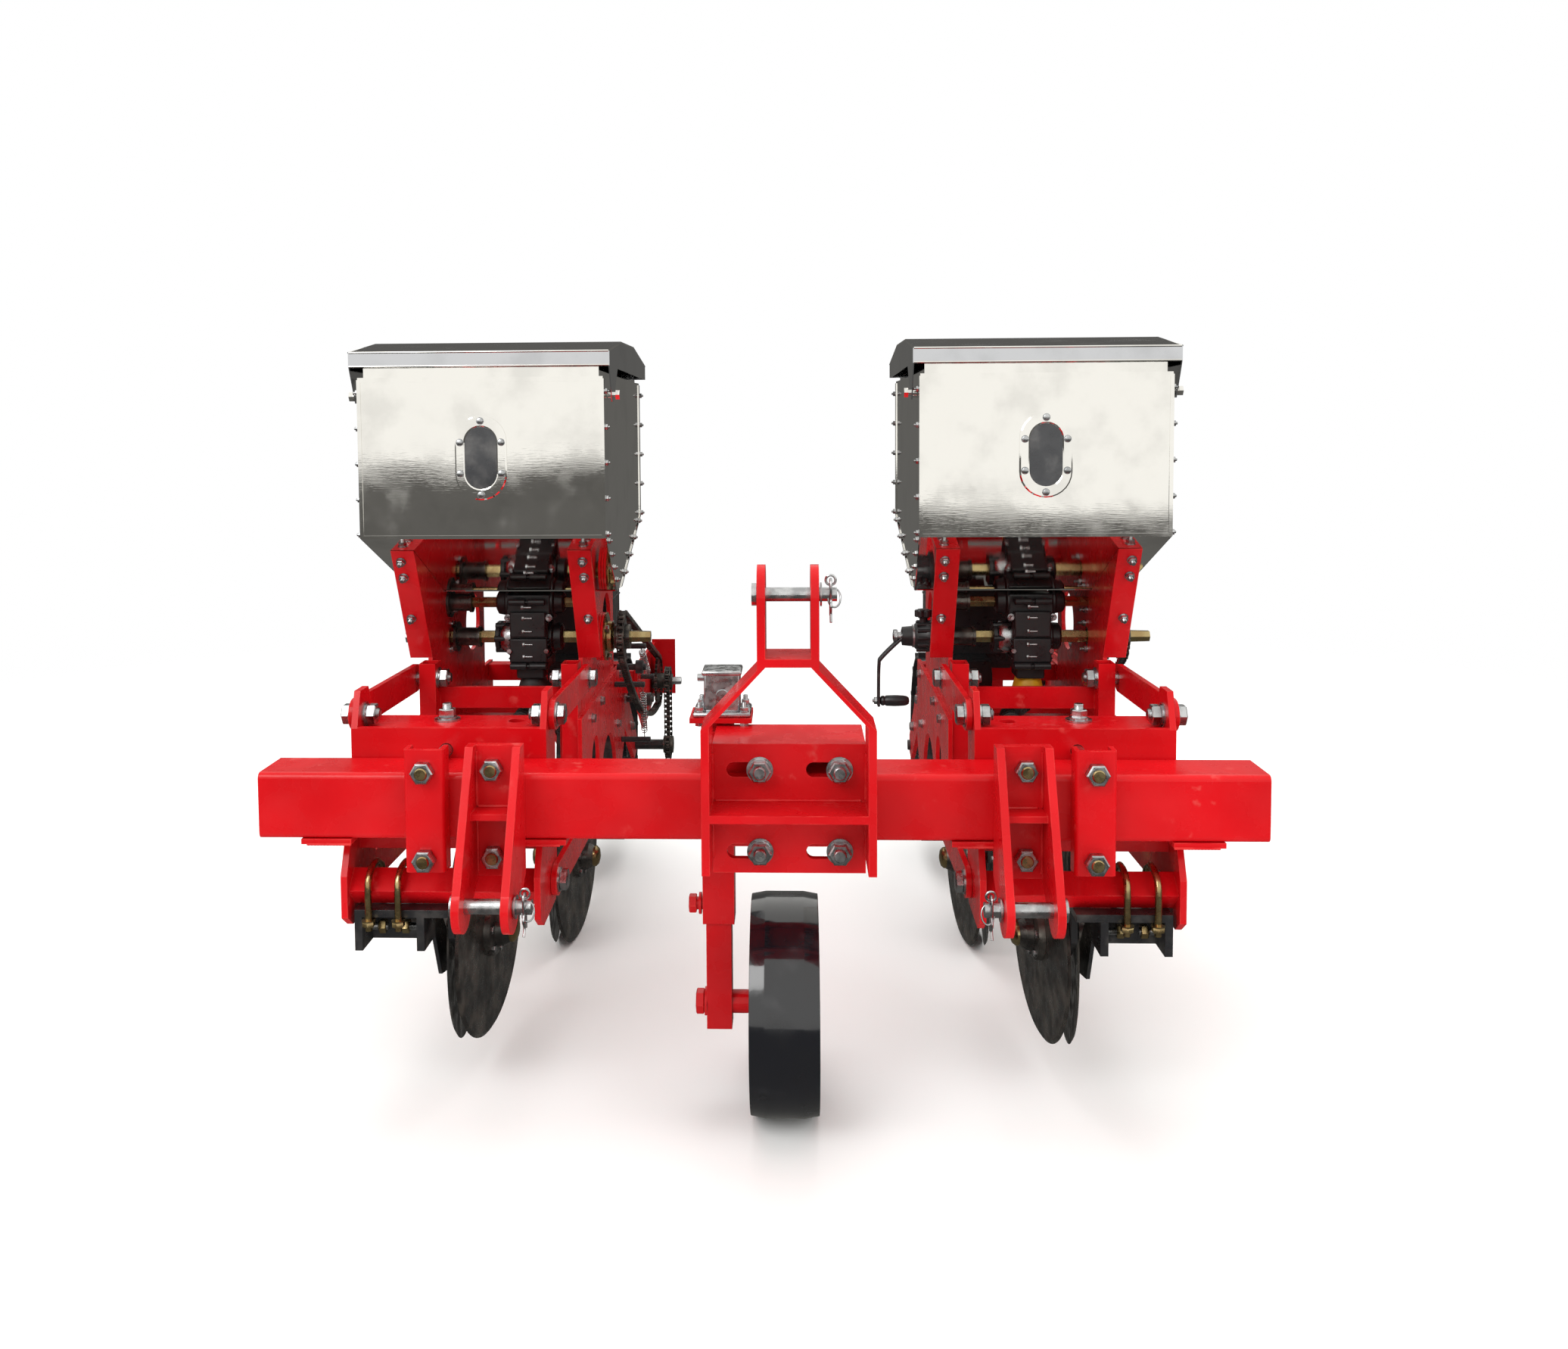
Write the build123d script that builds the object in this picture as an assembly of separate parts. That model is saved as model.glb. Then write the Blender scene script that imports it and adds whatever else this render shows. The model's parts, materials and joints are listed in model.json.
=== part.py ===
from build123d import *
import os
from math import atan2, cos, hypot, pi, radians, sin, sqrt

# Two-row corn planter for a three-point hitch, in millimetres.
# Every sub-part is drawn about the centre of the toolbar: X to the right when seen from the
# tractor, Y to the rear, Z up.  The export moves everything so that the ground is at Z = 0 and
# the origin lies under the middle of the machine.

# Toolbar
bar_size = 100.0
bar_wall = 6.0
bar_corner = 9.0
bar_length = 1500.0
bar_height = 525.0
row_spacing = 973.0
half_bar = bar_size / 2

# Stock and fits
plate = 10.0
heavy_plate = 12.0
running_gap = 0.05
open_pivot_gap = 0.4
face_gap = 0.5
soft_gap = 0.3
big_bolt = 20.0
link_bolt = 22.0
bolt_over_bar = half_bar + big_bolt / 2 + 1.0
bolt_under_bar = half_bar + big_bolt / 2 + plate

# Hitch mast
mast_x = 46.5
mast_plate_width = 225.0
mast_plate_height = 187.0
mast_bolt_spacing = 117.0
mast_depth = 86.0
cheek_gap = 64.0
mast_knee_z = 140.0
mast_neck_z = 226.0
top_pin_z = 324.0
top_pin = 20.0

# Lower hitch brackets
lower_hitch_x = 388.0
lower_cheek_gap = 58.0
lower_pin_y = -140.0
lower_pin_z = -118.0
lower_pin = 22.0
lower_boss = 38.0

# Gauge wheel
sleeve_size = 50.0
sleeve_wall = 4.5
post_size = 40.0
sleeve_x = -66.0
sleeve_bottom = -220.0
sleeve_top = 112.0
post_bottom = -392.0
wheel_x = 38.0
wheel_width = 106.0
wheel_radius = 170.0
wheel_axle = 25.0
cap_width = 57.0
cap_height = 72.0

# Row brackets and parallel links
row_plate_out = 154.0
front_pivot_y = 90.5
upper_pivot_z = 109.0
pivot_drop = 268.0
link_length = 335.5
link_fall = 8.0
link_thick = 9.0
link_width = 50.0
cross_bar = 40.0
cross_bar_y = 20.0
cross_bar_z = -145.0
spare_hole = 26.0
spare_hole_x = 92.0
spare_hole_y = 126.0
clamp_width = 60.0
clamp_x = 490.0
clamp_reach = 30.0
spring_x = 22.0
spring_top_y = 138.0
spring_top_z = 67.0
spring_foot_z = -166.0
spring_radius = 20.0
spring_wire = 6.0
foot_tube_y = 372.0
foot_tube = 14.0

# Fertiliser openers, in front of the links
coulter_radius = 175.0
coulter_y = 215.0
coulter_thick = 4.0
coulter_toe = 5.0
coulter_offset = 22.0
coulter_axle = 20.0
coulter_reach = 70.0
coulter_z = -288.0

# Row unit
upright_wide = 30.0
upright_deep = 40.0
upright_top = 130.0
upright_bottom = -200.0
unit_plate = 8.0
side_rear_y = 1000.0
side_top_z = 30.0
side_bottom_z = -205.0
support_rear_y = 890.0
support_lip = 34.0

# Fertiliser hopper
hopper_width = 428.0
hopper_front = 305.0
hopper_depth = 539.0
hopper_top = 650.0
hopper_knee = 370.0
hopper_outlet_z = 242.0
outlet_front = 572.0
outlet_length = 78.0
outlet_taper = 17.0
sheet = 2.0
neck_inset = 8.0
neck_height = 26.0
lid_overhang = 13.0
lid_front_gap = 7.0
lid_skirt = 26.0
lid_rise = 23.0
lid_eaves_z = 694.0
lid_pivot_y = 340.0
lid_pivot_z = 618.0
window_wide = 90.0
window_tall = 147.0
window_z = 510.0

# Fertiliser meter and drive
meter_shift = 25.0
meter_width = 82.0
shaft_y = 611.0
shaft_z = 147.0
shaft_size = 22.0
drive_x = 203.5
second_drive_x = 228.5
shaft_end_x = 259.0
chain_pitch = 12.7
meter_teeth = 23
counter_teeth = 29
wheel_teeth = 15
counter_y = 1270.0
counter_z = -73.0

# Seed opener, seed hopper and press wheel
opener_shift = 56.5
seed_disc_y = 775.0
seed_disc_radius = 176.0
seed_hopper_front = 900.0
seed_hopper_depth = 220.0
seed_hopper_width = 240.0
seed_hopper_top = 440.0
seed_hopper_bottom = 60.0
press_y = 1270.0
press_z = -233.0
press_radius = 230.0
press_width = 140.0
press_axle = 25.0
press_lugs = 16
seed_disc_z = seed_disc_radius - bar_height


# ---------------------------------------------------------------- helpers

def block(x0, x1, y0, y1, z0, z1):
    """A box given by its six faces."""
    middle = Pos((x0 + x1) / 2, (y0 + y1) / 2, (z0 + z1) / 2)
    return middle * Box(abs(x1 - x0), abs(y1 - y0), abs(z1 - z0))


def rod_x(x0, x1, y, z, radius):
    """A round bar along X."""
    return Pos((x0 + x1) / 2, y, z) * Rot(0, 90, 0) * Cylinder(radius, abs(x1 - x0))


def rod_y(x, y0, y1, z, radius):
    """A round bar along Y."""
    return Pos(x, (y0 + y1) / 2, z) * Rot(90, 0, 0) * Cylinder(radius, abs(y1 - y0))


def rod_z(x, y, z0, z1, radius):
    """A round bar along Z."""
    return Pos(x, y, (z0 + z1) / 2) * Cylinder(radius, abs(z1 - z0))


def side_plate(points, x0, x1):
    """A plate cut to an outline in Y and Z, between two X faces."""
    face = Plane.YZ * make_face(Polyline(*points, close=True))
    return Pos(min(x0, x1), 0, 0) * extrude(face, abs(x1 - x0), dir=(1, 0, 0))


def front_plate(points, y0, y1):
    """A plate cut to an outline in X and Z, between two Y faces."""
    face = Plane.XZ * make_face(Polyline(*points, close=True))
    return Pos(0, min(y0, y1), 0) * extrude(face, abs(y1 - y0), dir=(0, 1, 0))


def hex_x(x0, x1, y, z, across):
    """A hexagon bar along X, given across its flats."""
    face = Plane.YZ * RegularPolygon(across / sqrt(3), 6)
    return Pos(min(x0, x1), y, z) * extrude(face, abs(x1 - x0), dir=(1, 0, 0))


def hex_y(x, y0, y1, z, across):
    """A hexagon bar along Y, given across its flats."""
    face = Plane.XZ * RegularPolygon(across / sqrt(3), 6)
    return Pos(x, min(y0, y1), z) * extrude(face, abs(y1 - y0), dir=(0, 1, 0))


def bar_tube(x0, x1, y0, y1, z0, z1, wall):
    """A square tube standing on end, open at both ends."""
    return block(x0, x1, y0, y1, z0, z1) - block(
        x0 + wall, x1 - wall, y0 + wall, y1 - wall, z0 - 1, z1 + 1
    )


def cross_bolt(x, y_head, y_end, z, size=big_bolt):
    """A bolt along Y: head in front, washer, shank and nut behind the clamped plates."""
    across = 1.5 * size
    head = hex_y(x, y_head - 0.65 * size, y_head, z, across)
    nut = hex_y(x, y_end, y_end + 0.8 * size, z, across)
    shank = rod_y(x, y_head - 1, y_end + 0.9 * size, z, size / 2)
    return head + nut + shank


def pivot_bolt(x_head, x_end, y, z, size=link_bolt):
    """A pivot bolt along X with its head at x_head and its lock nut past x_end."""
    way = 1 if x_end > x_head else -1
    across = 1.45 * size
    head = hex_x(x_head - way * 0.6 * size, x_head, y, z, across)
    nut = hex_x(x_end, x_end + way * 0.85 * size, y, z, across)
    shank = rod_x(x_head - way, x_end + way * size, y, z, size / 2)
    return head + nut + shank


def sprocket_radius(teeth):
    """Pitch radius of a chain sprocket."""
    return chain_pitch / (2 * sin(pi / teeth))


def sprocket_disc(x, y, z, teeth):
    """A sprocket's body, as far as the roots of its teeth."""
    return rod_x(x - 3, x + 3, y, z, sprocket_radius(teeth) - 4.5)


def chain_loop(x, ends, width=9.0, thick=8.4):
    """A closed chain round two sprockets, as a flat band on their pitch circles."""
    (y0, z0, teeth0), (y1, z1, teeth1) = ends
    r0, r1 = sprocket_radius(teeth0), sprocket_radius(teeth1)
    outer = belt_outline(y0, z0, r0 + thick / 2, y1, z1, r1 + thick / 2)
    inner = belt_outline(y0, z0, r0 - thick / 2, y1, z1, r1 - thick / 2)
    band = Plane.YZ * (outer - inner)
    return Pos(x - width / 2, 0, 0) * extrude(band, width, dir=(1, 0, 0))


def belt_outline(y0, z0, r0, y1, z1, r1):
    """The area inside a belt round two circles."""
    span = hypot(y1 - y0, z1 - z0)
    heading = atan2(z1 - z0, y1 - y0)
    lean = atan2(sqrt(span**2 - (r0 - r1) ** 2), r0 - r1)
    up, down = heading + lean, heading - lean
    corners = [
        (y0 + r0 * cos(up), z0 + r0 * sin(up)),
        (y1 + r1 * cos(up), z1 + r1 * sin(up)),
        (y1 + r1 * cos(down), z1 + r1 * sin(down)),
        (y0 + r0 * cos(down), z0 + r0 * sin(down)),
    ]
    area = make_face(Polyline(*corners, close=True))
    return area + Pos(y0, z0) * Circle(r0) + Pos(y1, z1) * Circle(r1)


parts = {}


def keep(name, *solids):
    """Files the solids of one node under its name."""
    parts[name] = Compound(children=[s for group in solids for s in group.solids()])


# ---------------------------------------------------------------- toolbar and hitch

def toolbar():
    """Square tube with a cap let into each end."""
    half = bar_length / 2
    square = RectangleRounded(bar_size, bar_size, bar_corner)
    bore_size = bar_size - 2 * bar_wall
    ring = Plane.YZ * (square - Rectangle(bore_size, bore_size))
    tube = Pos(-half, 0, 0) * extrude(ring, bar_length, dir=(1, 0, 0))
    cap_half = bore_size / 2
    caps = [
        block(x, x + bar_wall, -cap_half, cap_half, -cap_half, cap_half)
        for x in (-half, half - bar_wall)
    ]
    keep("toolbar", tube, *caps)


mast_left = mast_x - mast_plate_width / 2
mast_right = mast_x + mast_plate_width / 2
mast_front = -half_bar - heavy_plate
mast_bolts = [
    (mast_x + side * mast_bolt_spacing / 2 + mast_plate_width * 0.07, z)
    for side in (-1, 1)
    for z in (-bolt_over_bar, bolt_over_bar)
]


def mast_cheek(side):
    """One side bar of the mast: upright, leaning in to the neck, then upright to the pin."""
    low = mast_x + side * mast_plate_width / 2
    high = mast_x + side * cheek_gap / 2
    step = side * heavy_plate
    bottom = -mast_plate_height / 2 + 20
    outline = [
        (low, bottom),
        (low, mast_knee_z),
        (high, mast_neck_z),
        (high, top_pin_z + mast_depth / 2),
        (high + step, top_pin_z + mast_depth / 2),
        (high + step, mast_neck_z - 4),
        (low + step, mast_knee_z - 4),
        (low + step, bottom),
    ]
    back = -half_bar
    front = back - mast_depth
    bar = front_plate(outline, front, back)
    middle = (front + back) / 2
    round_end = rod_x(-400, 400, middle, top_pin_z, mast_depth / 2)
    above = block(-400, 400, front - 5, back + 5, top_pin_z, top_pin_z + 200)
    return bar - (above - round_end)


def hitch_mast():
    """Front plate with slots, top flange over the toolbar, shelf, two cheeks and a cross piece."""
    half_height = mast_plate_height / 2
    front_face = block(mast_left, mast_right, mast_front, -half_bar, -half_height, half_height)
    for x, z in mast_bolts:
        slot_left = x - 38
        slot = Pos(0, mast_front + heavy_plate / 2, 0) * block(slot_left, x, -20, 20, z - 11, z + 11)
        front_face -= slot + rod_y(x, -90, -30, z, 11) + rod_y(slot_left, -90, -30, z, 11)
    flange = block(mast_left, mast_right, mast_front, -mast_front, half_height - 2, half_height + 6)
    shelf = block(mast_left, mast_right, -half_bar - mast_depth, mast_front, 2, 14)
    neck_low, neck_high = mast_neck_z, mast_neck_z + heavy_plate
    neck = block(
        mast_x - cheek_gap / 2, mast_x + cheek_gap / 2,
        -half_bar - mast_depth, -half_bar, neck_low, neck_high,
    )
    body = front_face + flange + shelf + neck + mast_cheek(-1) + mast_cheek(1)
    pin_y = -half_bar - mast_depth / 2
    body -= rod_x(-400, 400, pin_y, top_pin_z, top_pin / 2 + running_gap)
    keep("hitch_mast", body)


def hitch_pin(x0, x1, y, z, size, head_side):
    """A hitch pin with a flanged head and a spring clip through its far end."""
    shank = rod_x(x0, x1, y, z, size / 2)
    head_x = x0 if head_side < 0 else x1
    head = rod_x(head_x, head_x + head_side * 7, y, z, size / 2 + 6)
    clip_x = x1 - 9 if head_side < 0 else x0 + 9
    leg = rod_z(clip_x, y, z - 30, z + 18, 2)
    return shank + head + leg


def hitch_pins():
    pin_y = -half_bar - mast_depth / 2
    reach = cheek_gap / 2 + heavy_plate
    top = hitch_pin(mast_x - reach - 1, mast_x + reach + 26, pin_y, top_pin_z, top_pin, -1)
    reach = lower_cheek_gap / 2 + heavy_plate
    left = hitch_pin(
        -lower_hitch_x - reach - 1, -lower_hitch_x + reach + 26,
        lower_pin_y, lower_pin_z, lower_pin, -1,
    )
    right = hitch_pin(
        lower_hitch_x - reach - 26, lower_hitch_x + reach + 1,
        lower_pin_y, lower_pin_z, lower_pin, 1,
    )
    keep("hitch_pins", top, left, right)


lower_bolt_x = lower_hitch_x + 4


def lower_hitch_bracket(x):
    """Back plate, two cheeks that reach forward and down to the pin, and a web between them."""
    half_gap = lower_cheek_gap / 2
    width = half_gap + heavy_plate
    back = block(x - width, x + width, mast_front, -half_bar, -100, 97)
    body = back + block(x - half_gap, x + half_gap, -100, mast_front, -6, 4)
    outline = [
        (-half_bar - 1, 97), (-76, 97), (lower_pin_y - lower_boss + 2, lower_pin_z + 10),
        (lower_pin_y, lower_pin_z - lower_boss), (lower_pin_y + 34, lower_pin_z - 17),
        (-half_bar - 1, -100),
    ]
    for side in (-1, 1):
        inner, outer = x + side * half_gap, x + side * width
        cheek = side_plate(outline, inner, outer)
        body += cheek + rod_x(inner, outer, lower_pin_y, lower_pin_z, lower_boss)
    body -= rod_x(x - 90, x + 90, lower_pin_y, lower_pin_z, lower_pin / 2 + running_gap)
    for z in (bolt_over_bar, -bolt_under_bar):
        body -= rod_y(lower_bolt_x * x / abs(x), -80, -30, z, big_bolt / 2 + 0.5)
    return body


def row_clamp(x):
    """A channel across the front of the toolbar, with two bolt holes."""
    half, front = clamp_width / 2, -half_bar - clamp_reach
    body = block(x - half, x + half, front, -half_bar, -90, 94)
    body -= block(x - half + 7, x + half - 7, front + 7, -half_bar + 1, -91, 95)
    outer_edges = body.edges().filter_by(Axis.Z).group_by(Axis.Y)[0]
    body = fillet(outer_edges, 6)
    for z in (bolt_over_bar, -bolt_under_bar):
        body -= rod_y(x, front - 5, front + 15, z, big_bolt / 2 + 0.5)
    return body


def frame_bolts():
    """Long bolts that pass over and under the toolbar and pull the plates together."""
    bolts = []
    back = half_bar + plate
    for x, z in mast_bolts:
        bolts.append(cross_bolt(x, mast_front, half_bar + heavy_plate, z))
    for side in (-1, 1):
        for z in (bolt_over_bar, -bolt_under_bar):
            bolts.append(cross_bolt(side * clamp_x, -half_bar - clamp_reach, back, z))
            bolts.append(cross_bolt(side * lower_bolt_x, mast_front, back, z))
    for row in (-1, 1):
        for side in (-1, 1):
            x_row = row * row_spacing / 2
            head = x_row + side * (row_plate_out + 0.5 + link_thick)
            end = x_row + side * (row_plate_out - plate)
            for z in (upper_pivot_z, upper_pivot_z - pivot_drop):
                bolts.append(pivot_bolt(head, end, front_pivot_y, z))
    keep("frame_bolts", *bolts)


def row_bracket(row):
    """Weldment behind the toolbar that carries one row's links and opener cross bar."""
    x = row * row_spacing / 2
    out, inner = row_plate_out, row_plate_out - plate
    back = half_bar + plate
    body = block(x - inner, x + inner, half_bar, back, -96, 96)
    for bolt_x in (row * clamp_x, row * lower_bolt_x):
        for z in (bolt_over_bar, -bolt_under_bar):
            body -= rod_y(bolt_x, half_bar - 5, back + 5, z, big_bolt / 2 + 0.5)
    low_z = upper_pivot_z - pivot_drop
    outline = [
        (half_bar, 94), (70, 150), (110, 150), (128, upper_pivot_z), (124, -60),
        (128, low_z), (112, low_z - 40), (10, low_z - 44), (-15, low_z - 26),
        (-15, -120), (14, -half_bar - 8), (half_bar, -half_bar - 8),
    ]
    for side in (-1, 1):
        body += side_plate(outline, x + side * inner, x + side * out)
        pad_in, pad_out = x + side * 124, x + side * 200
        body += block(pad_in, pad_out, -half_bar, half_bar, -half_bar - 8, -half_bar)
    shelf_front = back + 20.5
    body += block(x - inner, x + inner, shelf_front, 165, 82, 90)
    body += block(x - inner, x + inner, shelf_front, shelf_front + 8, 72, 90)
    tube = Box(2 * inner, cross_bar, cross_bar) - Box(2 * inner, cross_bar - 8, cross_bar - 8)
    body += Pos(x, cross_bar_y, cross_bar_z) * Rot(45, 0, 0) * tube
    body -= rod_z(x - row * spare_hole_x, spare_hole_y, 70, 100, spare_hole / 2)
    for z in (upper_pivot_z, low_z):
        body -= rod_x(x - 300, x + 300, front_pivot_y, z, link_bolt / 2 + running_gap)
    return body


def frame_plates():
    keep("lower_hitch_brackets", *[lower_hitch_bracket(side * lower_hitch_x) for side in (-1, 1)])
    keep("row_clamps", *[row_clamp(side * clamp_x) for side in (-1, 1)])
    keep("row_brackets", *[row_bracket(row) for row in (-1, 1)])


# ---------------------------------------------------------------- gauge wheel

post_y = half_bar + heavy_plate + sleeve_size / 2
wheel_axle_z = wheel_radius - bar_height


def post_sleeve():
    """Rear clamp plate of the mast with the outer tube of the gauge wheel post."""
    half = sleeve_size / 2
    half_height = mast_plate_height / 2 - 3
    back = half_bar + heavy_plate
    body = block(sleeve_x - half, mast_right, half_bar, back, -half_height, half_height)
    for x, z in mast_bolts:
        body -= rod_y(x, half_bar - 5, back + 5, z, big_bolt / 2 + 0.5)
    tube = block(
        sleeve_x - half, sleeve_x + half, post_y - half, post_y + half, sleeve_bottom, sleeve_top
    )
    body += tube
    body += block(sleeve_x - 42, sleeve_x + 55, post_y - 40, post_y + 40, sleeve_top - 8, sleeve_top)
    hole = half - sleeve_wall
    body -= block(
        sleeve_x - hole, sleeve_x + hole, post_y - hole, post_y + hole,
        sleeve_bottom - 1, sleeve_top + 1,
    )
    body += rod_x(sleeve_x - half - 14, sleeve_x - half, post_y, sleeve_bottom + 25, 10)
    keep("post_sleeve", body)


def post_cap():
    """Gear housing of the height screw, closed on top, bolted to the sleeve's flange."""
    half = cap_width / 2
    top = sleeve_top + cap_height
    x = sleeve_x + 9
    shell = block(x - half, x + half, post_y - half, post_y + half, sleeve_top + 8, top)
    base = block(x - 46, x + 44, post_y - 38, post_y + 38, sleeve_top, sleeve_top + 8)
    hollow = half - 4
    body = shell + base
    body -= block(x - hollow, x + hollow, post_y - hollow, post_y + hollow, sleeve_top - 1, top - 5)
    for dx in (-38, 36):
        for dy in (-30, 30):
            body += hex_z(x + dx, post_y + dy, sleeve_top + 8, sleeve_top + 15, 13)
    keep("post_cap", body)


def hex_z(x, y, z0, z1, across):
    """A hexagon bar along Z, given across its flats."""
    return Pos(x, y, z0) * extrude(RegularPolygon(across / sqrt(3), 6), z1 - z0)


def gauge_wheel():
    """Sliding inner tube with its stub axle, and the plain steel wheel on it."""
    half = post_size / 2
    tube = bar_tube(
        sleeve_x - half, sleeve_x + half, post_y - half, post_y + half,
        post_bottom, sleeve_top - 10, 4,
    )
    axle_end = wheel_x + wheel_width / 2 - 8
    wheel_left = wheel_x - wheel_width / 2
    hub_left = wheel_left + 1
    axle = rod_x(sleeve_x - half - 14, axle_end, post_y, wheel_axle_z, wheel_axle / 2)
    spacer = rod_x(sleeve_x + half - 1, wheel_left - 0.5, post_y, wheel_axle_z, 18)
    nut = hex_x(axle_end - 14, axle_end, post_y, wheel_axle_z, 36)
    keep("gauge_post", tube + axle + spacer + nut)
    crown = 4.0
    outline = [
        (wheel_left, 0), (wheel_left, wheel_radius - crown), (wheel_x - 30, wheel_radius),
        (wheel_x + 30, wheel_radius), (wheel_left + wheel_width, wheel_radius - crown),
        (wheel_left + wheel_width, wheel_radius - crown - 7), (wheel_left + 7, wheel_radius - crown - 7),
        (wheel_left + 7, 0),
    ]
    section = make_face(Polyline(*outline, close=True))
    drum = revolve(section, Axis.X)
    hub = rod_x(hub_left, axle_end - 15, 0, 0, 30)
    wheel = drum + hub - rod_x(-400, 400, 0, 0, wheel_axle / 2 + running_gap)
    keep("gauge_wheel", Pos(0, post_y, wheel_axle_z) * wheel)


# ---------------------------------------------------------------- disc openers

def coulter(x, y, z, side, radius):
    """One disc of a pair, toed in at the front, with its hub and dust cap."""
    reach = coulter_reach - coulter_offset
    outline = [
        (0, 0), (0, radius), (coulter_thick, radius - 6), (coulter_thick, 46), (14, 44), (18, 30),
        (30, 28), (40, 22), (reach, 8), (reach, 0),
    ]
    solid = revolve(make_face(Polyline(*outline, close=True)), Axis.X)
    bore_depth = 24
    solid -= rod_x(-1, bore_depth, 0, 0, coulter_axle / 2 + running_gap)
    turn = Rot(0, 0, -coulter_toe) if side > 0 else Rot(0, 0, 180 + coulter_toe)
    return Pos(x + side * (coulter_offset - coulter_thick / 2), y, z) * turn * solid


def coulter_axles(x, y, z):
    """The two toed-in axle stubs of a disc pair, for its shank."""
    body = rod_x(x - 8, x + 8, y, z, 24)
    start = coulter_offset - coulter_thick / 2
    for side in (-1, 1):
        turn = Rot(0, 0, -coulter_toe) if side > 0 else Rot(0, 0, 180 + coulter_toe)
        body += Pos(x + side * start, y, z) * turn * rod_x(-14.5, 23, 0, 0, coulter_axle / 2)
    return body


def fertiliser_openers():
    """Holder on the cross bar, arm between the discs, funnel and scraper, for each row."""
    holders, u_bolts = [], []
    for row in (-1, 1):
        x = row * row_spacing / 2
        names = {-1: "left", 1: "right"}
        for side in (-1, 1):
            place = "outer" if side == row else "inner"
            disc = coulter(x, coulter_y, coulter_z, side, coulter_radius)
            keep(f"{names[row]}_{place}_fertiliser_disc", disc)
        under = cross_bar_z - cross_bar / sqrt(2) - face_gap

        def at(dx):
            return x + row * dx

        body = block(at(136), at(-8), -9, 54, under - 12, under)
        body += block(at(136), at(28), 42, 54, under - 64, under)
        body += block(at(136), at(124), -9, 54, under - 64, under)
        body += block(at(40), at(28), -9, 54, under - 64, under)
        arm = [
            (42, under - 64), (42, under), (70, under), (coulter_y, coulter_z + 40),
            (coulter_y + 24, coulter_z), (coulter_y, coulter_z - 24), (120, coulter_z - 16),
        ]
        body += side_plate(arm, x - 5, x + 5) + coulter_axles(x, coulter_y, coulter_z)
        cup = rod_z(at(-30), 200, -104, -10, 29) - rod_z(at(-30), 200, -98, -9, 26)
        chute = block(x - 8, x + 8, 186, 214, -270, -92) + block(x - 8, at(-30), 186, 214, -106, -94)
        scraper = [(52, under - 50), (52, under), (80, under - 20), (176, -318), (150, -330), (96, -318)]
        body += cup + chute + side_plate(scraper, at(30), at(36))
        body -= rod_z(at(-30), 200, -98, -9, 26)
        holders.append(body)
        for dx in (112, 66):
            top = cross_bar_z + cross_bar / sqrt(2) + face_gap
            legs = [rod_z(at(dx), leg_y, under - 30, top + 5, 5) for leg_y in (-14.6, 59.6)]
            bow = block(at(dx) - 5, at(dx) + 5, -19.6, 64.6, top, top + 10)
            u_bolts.append(legs[0] + legs[1] + bow)
        for side in (-1, 1):
            start, end = (at(124), at(92)) if side > 0 else (at(40), at(72))
            nut = hex_x(end, (start + end) / 2, 20, under - 36, 18)
            u_bolts.append(rod_x(start, end, 20, under - 36, 6) + nut)
    keep("opener_holders", *holders)
    keep("opener_u_bolts", *u_bolts)


# ---------------------------------------------------------------- row unit

rear_pivot_y = front_pivot_y + link_length
rear_upper_z = upper_pivot_z - link_fall
rear_lower_z = rear_upper_z - pivot_drop
front_lower_z = upper_pivot_z - pivot_drop
upright_front = rear_pivot_y - upright_deep / 2
upright_rear = rear_pivot_y + upright_deep / 2
plate_in = row_plate_out - unit_plate


def link_bar(x0, x1, z_front, rear_gap):
    """One flat link with rounded ends and a bore at each end."""
    z_rear = z_front - link_fall
    half = link_width / 2
    outline = [
        (front_pivot_y, z_front + half), (rear_pivot_y, z_rear + half),
        (rear_pivot_y, z_rear - half), (front_pivot_y, z_front - half),
    ]
    bar = side_plate(outline, x0, x1)
    for y, z in ((front_pivot_y, z_front), (rear_pivot_y, z_rear)):
        bar += rod_x(x0, x1, y, z, half)
    for y, z, gap in ((front_pivot_y, z_front, running_gap), (rear_pivot_y, z_rear, rear_gap)):
        bar -= rod_x(x0 - 1, x1 + 1, y, z, link_bolt / 2 + gap)
    return bar


def links(name, x):
    """Upper and lower link pairs; a cross tube joins the lower pair and seats the spring."""
    near, far = row_plate_out + 0.5, row_plate_out + 0.5 + link_thick
    upper = [
        link_bar(*sorted((x + side * near, x + side * far)), upper_pivot_z, open_pivot_gap)
        for side in (-1, 1)
    ]
    lower = None
    for side in (-1, 1):
        bar = link_bar(*sorted((x + side * near, x + side * far)), front_lower_z, running_gap)
        lower = bar if lower is None else lower + bar
    lower += rod_x(x - near - 1, x + near + 1, foot_tube_y, spring_foot_z, foot_tube)
    keep(f"{name}_upper_links", *upper)
    keep(f"{name}_lower_links", lower)


def pressure_spring(name, row, x):
    """Spring sleeve between the bracket's cross plate and the lower links' cross tube."""
    top = Vector(x + row * spring_x, spring_top_y, spring_top_z)
    way = Vector(x + row * spring_x, foot_tube_y, spring_foot_z) - top
    way = way.normalized() * (way.length - foot_tube - soft_gap)
    place = Plane(origin=top, z_dir=way)
    tube = extrude(place * (Circle(spring_radius) - Circle(spring_radius - spring_wire)), way.length)
    keep(f"{name}_pressure_spring", tube)


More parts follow.
